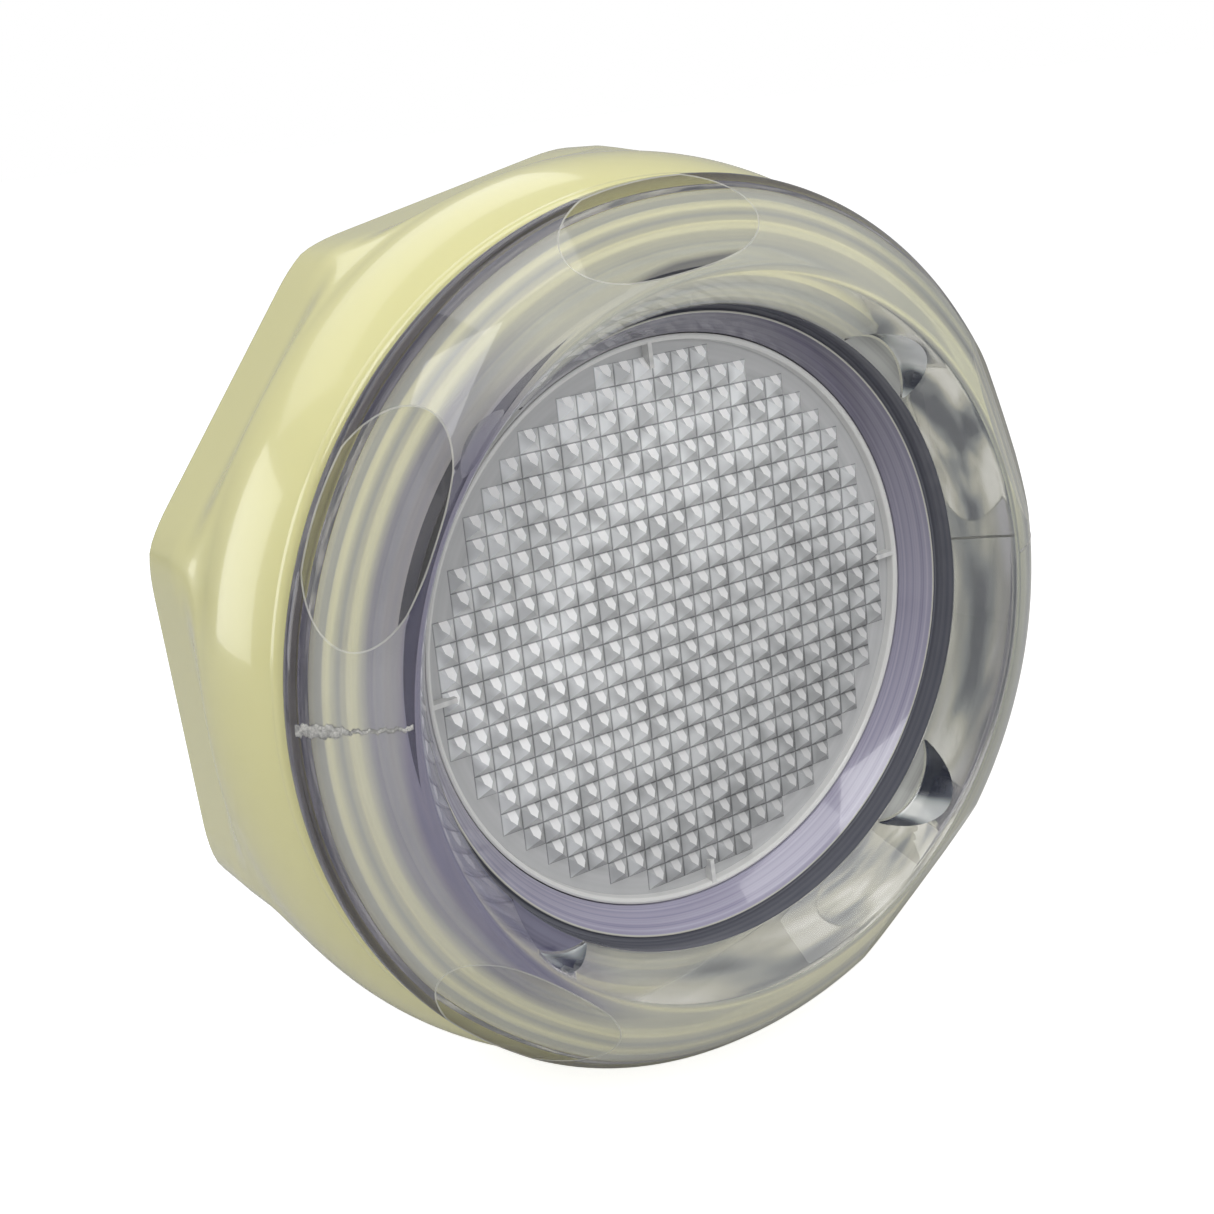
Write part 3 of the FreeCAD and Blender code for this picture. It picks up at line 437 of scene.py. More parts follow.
def painted_refraction_streaks(m):
    """Painted reflection: long dark and pale streaks, the surroundings as seen bent through the thick moulding, along
    its right-hand side only.
    """
    nt = m.node_tree
    r, sp = axis_radius(nt)
    wob = tex_noise(nt, 16, 1.5)
    rr = maths(nt, "ADD", maths(nt, "MULTIPLY", r, 1000.0), maths(nt, "MULTIPLY", wob.outputs["Fac"], 3.4))
    band = ramp(nt, to_range(nt, rr, 0.0, 1.0, 50.0, 65.0), [
        (0.00, (0.30, 0.31, 0.34)), (0.17, (0.62, 0.65, 0.66)), (0.36, (0.80, 0.83, 0.84)), (0.45, (0.10, 0.12, 0.18)), (0.49, (0.36, 0.39, 0.41)),
        (0.62, (0.46, 0.49, 0.50)), (0.68, (0.82, 0.82, 0.74)), (0.76, (0.55, 0.57, 0.57)), (0.82, (0.12, 0.15, 0.24)), (0.92, (0.60, 0.62, 0.60))])
    side = to_range(nt, maths(nt, "MULTIPLY", sp.outputs[0], 1000.0), 0.0, 0.5, 26.0, 50.0)
    tint(nt, nt.nodes["Principled BSDF"], side, band.outputs[0])


def painted_edge_shade(m, tone):
    """Painted shade: the thick outer edge of the moulding is tinted violet-grey, standing in for the dark refraction
    seen through the edge.
    """
    nt = m.node_tree
    b = nt.nodes["Principled BSDF"]
    r, sp = axis_radius(nt)
    wob = tex_noise(nt, 30, 2.0)
    rr = maths(nt, "ADD", maths(nt, "MULTIPLY", r, 1000.0), maths(nt, "MULTIPLY", wob.outputs["Fac"], 0.8))
    t = nt.nodes.new("ShaderNodeMapRange")
    t.inputs["From Min"].default_value = 59.5
    t.inputs["From Max"].default_value = 61.9
    nt.links.new(rr, t.inputs["Value"])
    old = b.inputs["Base Color"].links[0].from_socket
    nt.links.new(mix_colour(nt, "MIX", t.outputs[0], old, tone), b.inputs["Base Color"])


painted_refraction_streaks(M["clear_shell"])
painted_recess_reflection(M["clear_shell"], (0.40, 0.38, 0.60))
painted_edge_shade(M["clear_shell"], (0.21, 0.20, 0.28))
M["facet_window"] = clear_edge("facet_polycarbonate", (0.95, 0.94, 0.89), (0.60, 0.59, 0.60), 0.3, 1.46, (0.0, 0.02), 0.02, 0.95)
# painted shade: a dark crescent near the inner edge of the top facet only, from the upward mask times the radius band
fw_nt = M["facet_window"].node_tree
fw_r, fw_sp = axis_radius(fw_nt)
fw_wob = tex_noise(fw_nt, 60, 1.0)
fw_rr = maths(fw_nt, "ADD", maths(fw_nt, "MULTIPLY", fw_r, 1000.0), maths(fw_nt, "MULTIPLY", fw_wob.outputs["Fac"], 1.0))
fw_top_shade = to_range(fw_nt, maths(fw_nt, "MULTIPLY", fw_sp.outputs[2], 1000.0), 0.0, 1.0, 42.0, 48.0)
tint(fw_nt, fw_nt.nodes["Principled BSDF"], maths(fw_nt, "MULTIPLY", fw_top_shade, to_range(fw_nt, fw_rr, 0.95, 0.0, 52.2, 53.0)), (0.16, 0.16, 0.24))
# painted highlight: a pale strip round each flat facet, standing in for the glint on a rounded edge
M["facet_edge_highlight"] = plastic("facet_edge_highlight", (0.60, 0.60, 0.56), (0.80, 0.79, 0.72), (0.1, 0.2), 200, 0.0)
M["facet_edge_highlight"].node_tree.nodes["Principled BSDF"].inputs["Transmission Weight"].default_value = 0.5
# painted shade and painted highlights: the notch walls are near black with pale streaks from a stretched noise,
# standing in for dark refraction and glints in the glassy scallops
M["notch_wall"] = clear_edge("notch_polycarbonate", (0.13, 0.135, 0.16), (0.02, 0.021, 0.034), 0.45, 1.58, (0.02, 0.05), 0.25, 0.25)
nw_nt = M["notch_wall"].node_tree
nw_no = tex_noise(nw_nt, 150, 1.0, 0.5, (1.0, 0.45, 1.0))
nw_ramp = ramp(nw_nt, nw_no.outputs["Fac"], [(0.44, (0.012, 0.016, 0.035)), (0.50, (0.08, 0.09, 0.12)), (0.56, (0.42, 0.46, 0.47)), (0.66, (0.90, 0.92, 0.91))])
nw_nt.links.new(nw_ramp.outputs[0], nw_nt.nodes["Principled BSDF"].inputs["Base Color"])
M["notch_wall"].node_tree.nodes["Principled BSDF"].inputs["Coat Weight"].default_value = 0.8
# two copies of one notch floor: the pale one, and a darker copy that is painted shade for the lower-left notch
M["notch_floor_pale"] = ringed("notch_floor_pale", (0.34, 0.345, 0.34), (0.52, 0.525, 0.50), 900.0, (0.1, 0.2), 0.2, 0.6)
M["notch_floor_shaded"] = ringed("notch_floor_shaded", (0.065, 0.062, 0.115), (0.17, 0.165, 0.24), 900.0, (0.08, 0.16), 0.0, 0.8)
# the recess wall's tone is multiplied by a painted light slope, darker toward the top of the cone: painted shade
M["recess_wall"] = ringed("recess_polycarbonate", (0.180, 0.170, 0.242), (0.298, 0.286, 0.352), 2600.0, (0.10, 0.2), 0.0, 0.7, 0.04, None, (1.08, 1.5, -12.5))
# painted shade: the groove at the foot of the recess is given a dark tone for the shade in the crease
M["groove_dark"] = ringed("groove_polycarbonate", (0.100, 0.103, 0.128), (0.165, 0.170, 0.198), 1800.0, (0.15, 0.25))
M["recess_lip"] = ringed("lip_polycarbonate", (0.50, 0.495, 0.45), (0.62, 0.61, 0.55), 1500.0, (0.12, 0.2))
M["lens_rim"] = ringed("lens_rim_polycarbonate", (0.66, 0.665, 0.66), (0.82, 0.82, 0.80), 700.0, (0.1, 0.2), 0.1)
M["lens_flat"] = ringed("lens_flat_polycarbonate", (0.50, 0.505, 0.51), (0.60, 0.605, 0.61), 500.0, (0.15, 0.25), 0.1)
M["parting_mark"] = plastic("parting_mark", (0.34, 0.34, 0.34), (0.90, 0.89, 0.84), (0.15, 0.4), 1400, 0.5)
M["parting_mark"].node_tree.nodes["Principled BSDF"].inputs["Transmission Weight"].default_value = 0.35
# one facet material per facing direction, each toned for how the light falls on it: lit and shaded copies, painted
# light and shade; only the upward facets get the painted highlight wedge
M["prismatic_lens"] = facet_material("lens_facet_top", (0.62, 0.63, 0.64), (1.0, 1.0, 1.0))
M["lens_facet_left"] = facet_material("lens_facet_left", (0.72, 0.735, 0.745))
M["lens_facet_right"] = facet_material("lens_facet_right", (0.60, 0.605, 0.60))
M["lens_facet_low"] = facet_material("lens_facet_low", (0.58, 0.585, 0.59))
M["clear_silicone"] = plastic("silicone", (0.60, 0.60, 0.57), (0.68, 0.68, 0.65), (0.4, 0.5), 60, 0.03, sss=0.2)
# the gasket's tone is multiplied by a painted light slope, brighter toward the top: painted light
M["gasket_rubber"] = ringed("gasket", (0.42, 0.44, 0.46), (0.80, 0.78, 0.58), 420.0, (0.4, 0.55), light_slope=(1.27, 0.0, 4.0))
# painted light: the gasket glows with its own colour at strength 0.27, standing in for light that reaches it through
# the clear flange
gasket_bsdf = M["gasket_rubber"].node_tree.nodes["Principled BSDF"]
M["gasket_rubber"].node_tree.links.new(gasket_bsdf.inputs["Base Color"].links[0].from_socket, gasket_bsdf.inputs["Emission Color"])
gasket_bsdf.inputs["Emission Strength"].default_value = 0.27
M["white_plastic"] = plastic("natural_plastic", (0.66, 0.64, 0.53), (0.72, 0.70, 0.60), (0.3, 0.4), 80, 0.03)
M["ivory_plastic"] = plastic("ivory_plastic", (0.80, 0.768, 0.374), (0.812, 0.780, 0.388), (0.2, 0.24), 9, 0.0, coat=0.7, sss=0.08)
M["black_plastic"] = plastic("dark_plastic", (0.016, 0.016, 0.018), (0.03, 0.03, 0.033), (0.38, 0.55), 120, 0.18)
M["reflector_chrome"] = metal("metallised", (0.86, 0.86, 0.86), (0.05, 0.16), 120, (1, 1, 1), 0.02)
M["stainless"] = metal("stainless", (0.60, 0.59, 0.57), (0.2, 0.36), 500)
M["black_rubber"] = plastic("black_rubber", (0.012, 0.012, 0.012), (0.024, 0.024, 0.024), (0.5, 0.68), 150, 0.1)
M["holder_plastic"] = plastic("holder_plastic", (0.03, 0.03, 0.03), (0.055, 0.055, 0.055), (0.4, 0.5), 150, 0.1)
M["brass"] = metal("brass", (0.80, 0.58, 0.27), (0.22, 0.4), 400)
M["lamp_glass"] = clear("lamp_glass", (0.96, 0.97, 0.97), 1.5, (0.0, 0.02))
M["filament"] = metal("filament", (0.34, 0.33, 0.32), (0.3, 0.45), 900)
M["gland_plastic"] = plastic("gland_plastic", (0.045, 0.045, 0.05), (0.075, 0.075, 0.08), (0.36, 0.5), 140, 0.12)
M["wire_jacket"] = plastic("wire_jacket", (0.03, 0.03, 0.032), (0.05, 0.05, 0.055), (0.35, 0.45), 120, 0.05)

node_slot = {s["node"]: s["material_slot"] for s in frame["record"]["subparts"]}
for n, ob in frame["nodes"].items():
    ob.data.materials.clear()
    ob.data.materials.append(M[node_slot[n]])


def place(ob, body, slot, *nodes):
    ob.data.materials.clear()
    ob.data.materials.append(M[slot])
    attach(ob, body)
    if nodes:
        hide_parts(*nodes)
    return ob


# ------------------------------------------------------------------ clear housing
PITCH = 5.0


def tooth(v):
    """Thread form over one pitch, 0 at the root and 1 at the crest, with flat tops and soft corners."""
    v = v - math.floor(v)
    tri = 1 - abs(2 * v - 1)
    t = max(0.0, min(1.0, (tri - 0.24) / 0.52))
    return t * t * (3 - 2 * t)


def thread_phase(y, t):
    return y / PITCH - t_sign * t / (2 * math.pi)


# a right-hand thread: moving along +Y by one pitch goes with one positive turn about +Y.
# here the turning angle t is measured from +X towards +Z, which is a negative turn about +Y.
t_sign = -1.0

ROOT, CREST = 45.75, 46.9


def barrel_radius(y, t):
    fade_in = max(0.0, min(1.0, (y - 1.2) / 1.5))
    fade_out = max(0.0, min(1.0, (57.0 - y) / 1.5))
    return ROOT + (CREST - ROOT) * tooth(thread_phase(y, t)) * fade_in * fade_out


rim = [q for q in arc(62.1, 0.4, 50.3, -9.4, 26.0, -1, 34) if q[0] > 51.7]
inner = [(49.9, -9.4, 1.6), (44.95, -1.0, 0.35), (44.85, 2.8, 0.2), (44.25, 2.8, 0.15), (43.9, 2.1, 0.18), (40.9, 6.6, 0.15),
         (40.9, 11.0, 0.1), (38.0, 11.0, 0.2), (38.0, 13.2, 0.2), (42.0, 13.2, 0.3), (42.0, 58.0, 0.5), (45.2, 58.0, 0.4), (45.75, 57.4)]
shell = rim + rounded([rim[-1]] + inner, 5)[1:]
barrel_rows = []
yy = 57.0
while yy > 0.6:
    barrel_rows.append((-1.0, yy))
    yy -= 0.5
shell += barrel_rows
shell += rounded([(45.75, 4.0), (45.75, 0.0, 0.3), (59.4, 0.0, 0.3), (59.4, 2.7, 0.25), (62.1, 2.7, 0.55), (62.1, 0.4)], 4)[1:-1]


def housing_warp(r, y, t):
    if r < 0:
        return barrel_radius(y, t), y
    return r, y


housing = lathe("clear_housing", shell, 288, housing_warp, 34)

# spanner notches: round-bottomed scallops in the rim's inner slope
for k in range(4):
    a = math.radians(45 + 90 * k)
    nr, floor, edge = 8.4, -1.0, 0.7
    prof_n = [(0.0, floor)]
    for q in range(7):
        w = math.pi / 2 * q / 6
        prof_n.append((nr - edge + edge * math.sin(w), floor - edge + edge * math.cos(w)))
    prof_n += [(nr + 0.12, -16.0), (0.0, -16.0)]
    vs, fs = [], []
    seg = 80
    cx, cz = 40.5 * math.cos(a), 40.5 * math.sin(a)
    vs.append((cx * MM, prof_n[0][1] * MM, cz * MM))
    body_pts = prof_n[1:-1]
    for i in range(seg):
        th = 2 * math.pi * i / seg
        for r, y in body_pts:
            vs.append(((cx + r * math.cos(th)) * MM, y * MM, (cz + r * math.sin(th)) * MM))
    vs.append((cx * MM, -16.0 * MM, cz * MM))
    nb = len(body_pts)
    for i in range(seg):
        j = (i + 1) % seg
        fs.append((0, 1 + i * nb, 1 + j * nb))
        for q in range(nb - 1):
            fs.append((1 + i * nb + q, 1 + i * nb + q + 1, 1 + j * nb + q + 1, 1 + j * nb + q))
        fs.append((len(vs) - 1, 1 + j * nb + nb - 1, 1 + i * nb + nb - 1))
    tool = mesh_object("notch_tool", vs, fs)
    fix_normals(tool)
    cut(housing, tool)

# five flat facets on the rim's front shoulder
FACETS = [math.radians(95.5 - 76.0 * k) for k in range(5)]
for a in FACETS:
    p1, p2 = (45.91, -13.24), (65.54, 3.82)
    dirx, dirz = math.cos(a), math.sin(a)
    tx, tz = -dirz, dirx
    pts = []
    for w in (-30.0, 30.0):
        for r, y in (p1, p2, (65.54, -18.0), (45.91, -18.0)):
            pts.append(((r * dirx + w * tx) * MM, y * MM, (r * dirz + w * tz) * MM))
    tool = mesh_object("facet_tool", pts, [(0, 1, 2, 3), (4, 7, 6, 5), (0, 4, 5, 1), (1, 5, 6, 2), (2, 6, 7, 3), (3, 7, 4, 0)])
    fix_normals(tool)
    cut(housing, tool)
smooth_by_angle(housing, 34)
facet_planes = []
for a in FACETS:
    u = Vector((19.63, 17.06)).normalized()
    n = Vector((u.y * math.cos(a), -u.x, u.y * math.sin(a)))
    facet_planes.append((n, n.dot(Vector((45.91 * math.cos(a), -13.24, 45.91 * math.sin(a))) * MM)))
bm = bmesh.new()
bm.from_mesh(housing.data)
bmesh.ops.remove_doubles(bm, verts=bm.verts, dist=2e-7)
bm.normal_update()
flat_faces = set()
for f in bm.faces:
    for n, d in facet_planes:
        if f.normal.dot(n) > 0.9995 and all(abs(v.co.dot(n) - d) < 3e-6 for v in f.verts):
            flat_faces.add(f.index)
for e in bm.edges:
    if len(e.link_faces) == 2 and (e.link_faces[0].index in flat_faces) != (e.link_faces[1].index in flat_faces):
        e.smooth = False
bm.faces.ensure_lookup_table()
flat_list = [bm.faces[i] for i in flat_faces]
print("facet faces", len(flat_list))
# a thin border round each facet gets the painted-highlight strip material
border = bmesh.ops.inset_region(bm, faces=flat_list, thickness=0.00022, depth=0.0, use_even_offset=True)["faces"]
for f in flat_list:
    f.material_index = 4
for f in border:
    f.material_index = 5
bm.to_mesh(housing.data)
bm.free()
kept = {p.index: p.material_index for p in housing.data.polygons if p.material_index in (4, 5)}
place(housing, "lens_body", "clear_shell", "lens_housing")
for extra in ("recess_wall", "groove_dark", "recess_lip", "facet_window", "facet_edge_highlight", "notch_wall", "notch_floor_pale", "notch_floor_shaded"):
    housing.data.materials.append(M[extra])
for p in housing.data.polygons:
    c = p.center
    rr, yy_ = math.hypot(c.x, c.z) / MM, c.y / MM
    if p.index in kept:
        p.material_index = kept[p.index]
        continue
    p.material_index = 0
    if 40.5 < rr < 44.02 and 1.9 < yy_ < 11.2:
        p.material_index = 1
    # the groove at the foot of the recess takes the dark painted-shade material
    if 40.5 < rr < 44.02 and 1.9 < yy_ < 2.45:
        p.material_index = 3
    if 44.0 < rr < 44.93 and -0.2 < yy_ < 3.0:
        p.material_index = 2
    for k in range(4):
        a = math.radians(45 + 90 * k)
        d = math.hypot(c.x / MM - 40.5 * math.cos(a), c.z / MM - 40.5 * math.sin(a))
        # the lower-left notch (k == 2) gets the darker copy of the floor, painted shade
        if 44.9 < rr < 49.5 and d < 7.9 and -1.25 < yy_ < -0.7 and abs(p.normal.y) > 0.8:
            p.material_index = 8 if k == 2 else 7
        elif 44.9 < rr < 50.0 and 7.6 < d < 8.6 and -9.0 < yy_ < -0.9 and abs(p.normal.y) < 0.8 and (Vector((c.x / MM - 40.5 * math.cos(a), 0, c.z / MM - 40.5 * math.sin(a))).normalized().dot(p.normal) < -0.75):
            p.material_index = 6

# the mould's parting marks across the rim: a crumbly one on the left, a fine line on the right


def parting_mark(name, angle_deg, r_out, r_in, half, height, crumb):
    rows, across = 60, 7
    prof_r = [q for q in arc(62.1, 0.4, 50.3, -9.4, 26.0, -1, 200) if r_in <= q[0] <= r_out]
    step = max(1, len(prof_r) // rows)
    prof_r = prof_r[::step]
    verts, faces = [], []
    a0 = math.radians(angle_deg)
    for i, (r, y) in enumerate(prof_r):
        nx, ny = r - 40.24, y - 14.63
        ln = math.hypot(nx, ny)
        nx, ny = nx / ln, ny / ln
        side = 0.25 * math.sin(i * 0.9) + 0.2 * math.sin(i * 2.3 + 1)
        grow = 1.0 if crumb == 0 else 0.35 + 0.65 * max(0.0, min(1.0, (r - 57.2) / 1.4))
        for j in range(across):
            w = (j / (across - 1) * 2 - 1) * half * grow
            seed = math.sin(i * 12.9898 + j * 78.233) * 43758.5453
            rnd = seed - math.floor(seed)
            hump = (1 - (j / (across - 1) * 2 - 1) ** 2)
            lift = -0.03 + (height * hump * (0.35 + 0.65 * rnd if crumb else 1.0)) * grow
            rr = r + nx * lift
            yy2 = y + ny * lift
            ang = a0 + (w + side * crumb * 0.6) / r
            verts.append((rr * math.cos(ang) * MM, yy2 * MM, rr * math.sin(ang) * MM))
        if i:
            for j in range(across - 1):
                o = (i - 1) * across + j
                faces.append((o, o + 1, o + across + 1, o + across))
    # a skin below the surface closes the strip
    base = len(verts)
    for i, (r, y) in enumerate(prof_r):
        nx, ny = r - 40.24, y - 14.63
        ln = math.hypot(nx, ny)
        for j in (0, across - 1):
            v = verts[i * across + j]
            k = 0.12 / ln
            ang = math.atan2(v[2], v[0])
            verts.append((v[0] - nx * k * math.cos(ang) * MM, v[1] - ny * k * MM, v[2] - nx * k * math.sin(ang) * MM))
        if i:
            o, q = base + (i - 1) * 2, base + i * 2
            t0, t1 = (i - 1) * across, i * across
            faces.append((o, q, q + 1, o + 1))
            faces.append((o, t0, t1, q))
            faces.append((o + 1, q + 1, t1 + across - 1, t0 + across - 1))
    last = len(prof_r) - 1
    faces.append(tuple([base, base + 1] + [across - 1 - j for j in range(across)]))
    faces.append(tuple([base + 2 * last + 1, base + 2 * last] + [last * across + j for j in range(across)]))
    ob = mesh_object(name, verts, faces)
    fix_normals(ob)
    for p in ob.data.polygons:
        p.use_smooth = not crumb
    return place(ob, "lens_body", "clear_shell")


for ob_ in (parting_mark("parting_mark_left", 176.2, 61.8, 50.6, 0.85, 0.2, 1), parting_mark("parting_mark_right", 1.4, 61.6, 50.6, 0.2, 0.09, 0)):
    ob_.data.materials[0] = M["parting_mark"]

# ------------------------------------------------------------------ prismatic lens
CELL = 3.18
GRID_R = 39.75
lens_v, lens_f = [], []
front_y, base_y, back_y = 6.66, 8.2, 10.4
half_n = 13
cells = []
for i in range(-half_n, half_n):
    for j in range(-half_n, half_n):
        far = max(math.hypot(x * CELL, z * CELL) for x in (i, i + 1) for z in (j, j + 1))
        if far <= GRID_R:
            cells.append((i, j))
cellset = set(cells)
vid = {}


def corner(i, j):
    if (i, j) not in vid:
        vid[(i, j)] = len(lens_v)
        lens_v.append((i * CELL * MM, base_y * MM, j * CELL * MM))
    return vid[(i, j)]


for i, j in cells:
    a, b, c, d = corner(i, j), corner(i + 1, j), corner(i + 1, j + 1), corner(i, j + 1)
    top = len(lens_v)
    lens_v.append(((i + 0.5) * CELL * MM, front_y * MM, (j + 0.5) * CELL * MM))
    lens_f += [(a, b, top), (b, c, top), (c, d, top), (d, a, top)]
prisms = mesh_object("lens_prisms", lens_v, lens_f)
# the boundary of the prism field drops back into a flat plate
bm = bmesh.new()
bm.from_mesh(prisms.data)
edges = [e for e in bm.edges if len(e.link_faces) == 1]
res = bmesh.ops.extrude_edge_only(bm, edges=edges)
for v in [g for g in res["geom"] if isinstance(g, bmesh.types.BMVert)]:
    v.co.y = (base_y + 0.5) * MM
edges = [e for e in bm.edges if len(e.link_faces) == 1]
bmesh.ops.holes_fill(bm, edges=edges, sides=0)
bmesh.ops.triangulate(bm, faces=[f for f in bm.faces if len(f.verts) > 4])
bmesh.ops.recalc_face_normals(bm, faces=bm.faces)
bm.to_mesh(prisms.data)
bm.free()
place(prisms, "lens_body", "prismatic_lens")
for extra in ("lens_facet_left", "lens_facet_right", "lens_facet_low"):
    prisms.data.materials.append(M[extra])
for p in prisms.data.polygons:
    n = p.normal
    if n.y > -0.3 or n.y < -0.95:
        continue
    if abs(n.x) > abs(n.z):
        p.material_index = 1 if n.x < 0 else 2
    elif n.z < 0:
        p.material_index = 3

disc_pts = rounded([(0.001, 8.2), (39.75, 8.2, 0.2), (39.95, 7.0, 0.2), (40.35, 6.62, 0.2), (40.75, 6.8, 0.1), (40.75, 10.38, 0.2), (0.001, 10.38)], 4)
disc = lathe("lens_disc", disc_pts, 192, None, 30)
place(disc, "lens_body", "prismatic_lens", "prismatic_lens")
disc.data.materials[0] = M["lens_rim"]
disc.data.materials.append(M["lens_flat"])
for p in disc.data.polygons:
    c = p.center
    if math.hypot(c.x, c.z) / MM < 39.8 and c.y / MM < 9.0:
        p.material_index = 1

# four short witness bars on the lens edge
tick_v, tick_f = [], []
for k in range(4):
    a = math.radians(90 * k + 1.5)
    base = len(tick_v)
    for r in (36.6, 40.2):
        for w, y in ((-0.42, 8.4), (0.42, 8.4), (0.34, 6.75), (-0.34, 6.75)):
            tick_v.append(((r * math.cos(a) - w * math.sin(a)) * MM, y * MM, (r * math.sin(a) + w * math.cos(a)) * MM))
    for f in ((0, 1, 2, 3), (7, 6, 5, 4), (0, 4, 5, 1), (1, 5, 6, 2), (2, 6, 7, 3), (3, 7, 4, 0)):
        tick_f.append(tuple(base + q for q in f))
ticks = mesh_object("lens_witness_bars", tick_v, tick_f)
fix_normals(ticks)
place(ticks, "lens_body", "prismatic_lens")
ticks.data.materials[0] = M["lens_rim"]

# ------------------------------------------------------------------ lock nut
FLATS = 9
FIRST = math.radians(102.2)


def nut_outer(y):
    if y < 5.6:
        u = (y - 4.2) / 1.4
        return 60.6 + 1.6 * math.sqrt(max(0.0, 1 - (1 - u) ** 2))
    if y < 19.5:
        u = (y - 19.5) / 13.9
        return 65.6 - 3.4 * (u * u)
    u = min(1.0, (y - 19.5) / 11.0)
    return 65.6 + 1.25 * u * u * (3 - 2 * u)


def soft_min(a, b, k):
    h_ = max(0.0, min(1.0, 0.5 + 0.5 * (b - a) / k))
    return b + (a - b) * h_ - k * h_ * (1 - h_)


def nut_radius(y, t):
    r = nut_outer(y)
    d = (t - FIRST) % (2 * math.pi / FLATS)
    if d > math.pi / FLATS:
        d -= 2 * math.pi / FLATS
    rise = max(0.0, 27.5 - y)
    flat = (63.4 + 0.02 * rise * rise * rise ** 0.5) / math.cos(d)
    return soft_min(r, flat, 1.3)


def nut_warp(r, y, t):
    if r == -1.0:
        return nut_radius(y, t), y
    if r == -2.0:
        fade = max(0.0, min(1.0, (y - 4.7) / 1.5)) * max(0.0, min(1.0, (38.9 - y) / 1.5))
        base = barrel_radius(y, t) if 3 < y < 52 else 46.9
        full = ROOT + (CREST - ROOT) * tooth(thread_phase(y, t))
        return (full + 0.14) * fade + (47.1) * (1 - fade), y
    if r >= 1000.0:
        lim = nut_radius(y - (r - 1000.0), t)
        return lim, y
    return r, y


nut = [(48.4, 4.2), (54.0, 4.2), (60.0, 4.2)]
y = 4.24
while y < 37.9:
    nut.append((-1.0, y))
    y += 0.2 if y < 6 or 24 < y < 29.5 else 0.6
nut.append((-1.0, 37.8))
EDGE = 1.4
for q in range(1, 8):
    w = math.pi / 2 * q / 7
    nut.append((2000.0 + EDGE * (1 - math.cos(w)), 37.8 + EDGE * math.sin(w)))
nut += [(58.0, 39.2), (52.0, 39.2), (48.6, 39.2), (48.3, 39.1), (47.2, 38.4)]
y = 38.2
while y > 5.4:
    nut.append((-2.0, y))
    y -= 0.45
nut += [(47.2, 5.2), (47.3, 4.9), (48.1, 4.3)]


def nut_all(r, y, t):
    if r >= 2000.0:
        return nut_radius(37.8, t) - (r - 2000.0), y
    return nut_warp(r, y, t)


nut_ob = lathe("ivory_lock_nut", nut, 288, nut_all, 40)
place(nut_ob, "lock_nut", "ivory_plastic", "lock_nut")

# ------------------------------------------------------------------ rings and rear pieces as turned shapes
ribs = [(47.45, 0.05, 0.2)]
r_ = 49.6
while r_ < 57.5:
    ribs += [(r_, 0.05, 0.4), (r_ + 0.3, 0.7, 0.3), (r_ + 1.0, 0.7, 0.3), (r_ + 1.3, 0.05, 0.4)]
    r_ += 3.3
ribs += [(58.9, 0.05, 0.3), (58.9, 2.97, 0.5), (47.45, 2.97, 0.5)]
gasket = lathe("wall_gasket_ring", rounded(ribs, 4), 192)
place(gasket, "lens_body", "gasket_rubber", "wall_gasket")
washer = lathe("slip_washer_ring", rounded([(47.35, 3.12, 0.25), (58.45, 3.12, 0.25), (58.45, 4.08, 0.25), (47.35, 4.08, 0.25)], 4), 192)
place(washer, "slip_washer", "white_plastic", "slip_washer")

# ------------------------------------------------------------------ stage, light, camera
fl = mesh_object("floor", [(-20, -20, -0.0672), (20, -20, -0.0672), (20, 20, -0.0672), (-20, 20, -0.0672)], [(0, 1, 2, 3)])
fm, fnt, fb = material("floor_paper")
fb.inputs["Base Color"].default_value = (0.66, 0.66, 0.66, 1)
fb.inputs["Roughness"].default_value = 0.95
fb.inputs["Specular IOR Level"].default_value = 0.1
flp = fnt.nodes.new("ShaderNodeLightPath")
fb.inputs["Emission Color"].default_value = (1, 1, 1, 1)
fnt.links.new(maths(fnt, "MULTIPLY", flp.outputs["Is Camera Ray"], 0.82), fb.inputs["Emission Strength"])
fsee = fnt.nodes.new("ShaderNodeBsdfTransparent")
fmix = fnt.nodes.new("ShaderNodeMixShader")
fnt.links.new(flp.outputs["Is Transmission Ray"], fmix.inputs[0])
fnt.links.new(fb.outputs[0], fmix.inputs[1])
fnt.links.new(fsee.outputs[0], fmix.inputs[2])
fnt.links.new(fmix.outputs[0], [n for n in fnt.nodes if n.type == "OUTPUT_MATERIAL"][0].inputs[0])
fl.data.materials.append(fm)

THETA = math.radians(7.17)
RW = 40.8


def from_fit(v, origin=False):
    """A direction or a point of the fitted view, turned into the row frame."""
    x, y, z = v
    xo = x * math.cos(THETA) + z * math.sin(THETA)
    zo = -x * math.sin(THETA) + z * math.cos(THETA)
    if origin:
        return Vector((xo * RW * MM, (y + 0.161) * RW * MM, zo * RW * MM))
    return Vector((xo, y, zo))


phi, elev = math.radians(-33.56), math.radians(9.93)
t = (0.263, -0.334, 5.887)
focal, ppx, ppy = 1706.0, 608.0, 527.0
back = Vector((math.sin(phi) * math.cos(elev), -math.cos(phi) * math.cos(elev), math.sin(elev)))
right = Vector((math.cos(phi), math.sin(phi), 0))
up = back.cross(right)
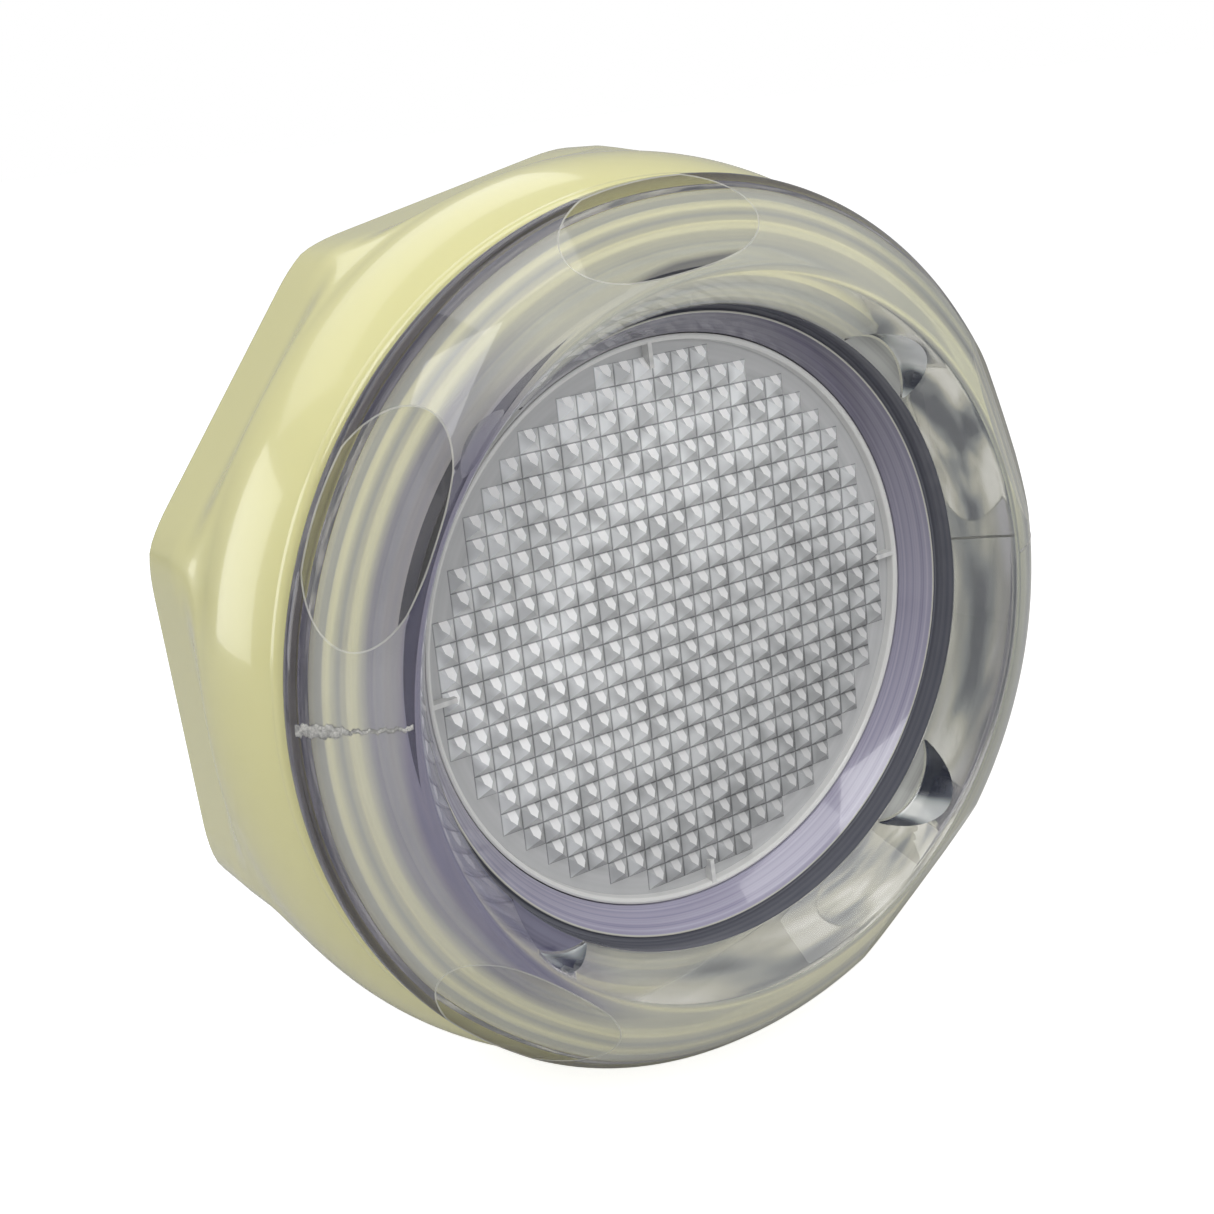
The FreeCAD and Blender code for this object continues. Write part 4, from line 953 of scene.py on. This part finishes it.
# q = R X + (tx, ty, -tz) gives the camera's place as -R^T (tx, ty, -tz)
place_fit = -(right * t[0] + up * t[1] + back * (-t[2]))
cam_data = bpy.data.cameras.new("camera")
cam = bpy.data.objects.new("camera", cam_data)
bpy.context.scene.collection.objects.link(cam)
R_, U_, B_ = from_fit(right), from_fit(up), from_fit(back)
loc = from_fit(place_fit, True)
cam.matrix_world = Matrix(((R_.x, U_.x, B_.x, loc.x), (R_.y, U_.y, B_.y, loc.y), (R_.z, U_.z, B_.z, loc.z), (0, 0, 0, 1)))
cam_data.sensor_fit = "HORIZONTAL"
cam_data.sensor_width = 36.0
cam_data.lens = focal * 36.0 / 1214.0
cam_data.shift_x = (607.0 - ppx) / 1214.0
cam_data.shift_y = (ppy - 607.0) / 1214.0
cam_data.clip_start = 0.01
bpy.context.scene.camera = cam


def area(name, where, target, size, power, color=(1, 1, 1), gloss_only=False):
    d = bpy.data.lights.new(name, "AREA")
    d.shape = "RECTANGLE"
    d.size, d.size_y = size
    d.energy = power
    d.color = color
    o = bpy.data.objects.new(name, d)
    bpy.context.scene.collection.objects.link(o)
    o.location = where
    o.rotation_euler = (Vector(target) - Vector(where)).to_track_quat("-Z", "Y").to_euler()
    o.visible_transmission = False
    o.visible_camera = False
    o.visible_diffuse = not gloss_only
    return o


area("key_left", (-0.52, -0.72, 0.86), (0, 0.0, 0), (0.5, 0.7), 4.3)
area("top", (0.05, -0.2, 0.95), (0, 0.0, 0), (0.7, 0.5), 2.3)
area("front", (0.2, -1.1, 0.3), (0, 0.0, 0), (0.8, 0.6), 2.9)
area("strip_back_left", (-0.80, 0.60, 0.10), (-0.03, 0.015, 0.0), (0.45, 0.8), 2.4, gloss_only=True)
area("strip_back_top", (-0.12, 0.66, 0.74), (-0.01, 0.015, 0.03), (1.2, 0.42), 1.4, gloss_only=True)
fill = area("fill_back", (-0.62, 0.42, 0.80), (0, 0.02, 0.0), (0.6, 0.6), 1.3)
fill.visible_glossy = False

world = bpy.data.worlds.new("studio")
bpy.context.scene.world = world
world.use_nodes = True
wn = world.node_tree
bg = wn.nodes["Background"]
bg.inputs[0].default_value = (0.95, 0.95, 0.96, 1)
bg.inputs[1].default_value = 0.40
white = wn.nodes.new("ShaderNodeBackground")
white.inputs[0].default_value = (1, 1, 1, 1)
white.inputs[1].default_value = 1.0
# what the clear mouldings mirror and bend: a soft room of pale cards with darker gaps between
room = wn.nodes.new("ShaderNodeBackground")
room.inputs[1].default_value = 0.8
wco = wn.nodes.new("ShaderNodeTexCoord")
wmp = wn.nodes.new("ShaderNodeMapping")
wmp.inputs["Scale"].default_value = (1.0, 1.0, 1.6)
wmp.inputs["Rotation"].default_value = (0.3, 0.5, 0.2)
wno = wn.nodes.new("ShaderNodeTexNoise")
wno.inputs["Scale"].default_value = 4.2
wno.inputs["Detail"].default_value = 2.0
wn.links.new(wco.outputs["Generated"], wmp.inputs[0])
wn.links.new(wmp.outputs[0], wno.inputs["Vector"])
wcol = ramp(wn, wno.outputs["Fac"], [(0.34, (0.075, 0.085, 0.115)), (0.44, (0.30, 0.32, 0.33)), (0.52, (0.62, 0.61, 0.52)), (0.64, (0.95, 0.94, 0.88))])
wn.links.new(wcol.outputs[0], room.inputs[0])
lp = wn.nodes.new("ShaderNodeLightPath")
mx = wn.nodes.new("ShaderNodeMixShader")
mx2 = wn.nodes.new("ShaderNodeMixShader")
wo = [n for n in wn.nodes if n.type == "OUTPUT_WORLD"][0]
wn.links.new(lp.outputs["Is Transmission Ray"], mx.inputs[0])
wn.links.new(bg.outputs[0], mx.inputs[1])
wn.links.new(room.outputs[0], mx.inputs[2])
wn.links.new(lp.outputs["Is Camera Ray"], mx2.inputs[0])
wn.links.new(mx.outputs[0], mx2.inputs[1])
wn.links.new(white.outputs[0], mx2.inputs[2])
wn.links.new(mx2.outputs[0], wo.inputs[0])
bpy.context.scene.view_settings.view_transform = "Standard"

note()
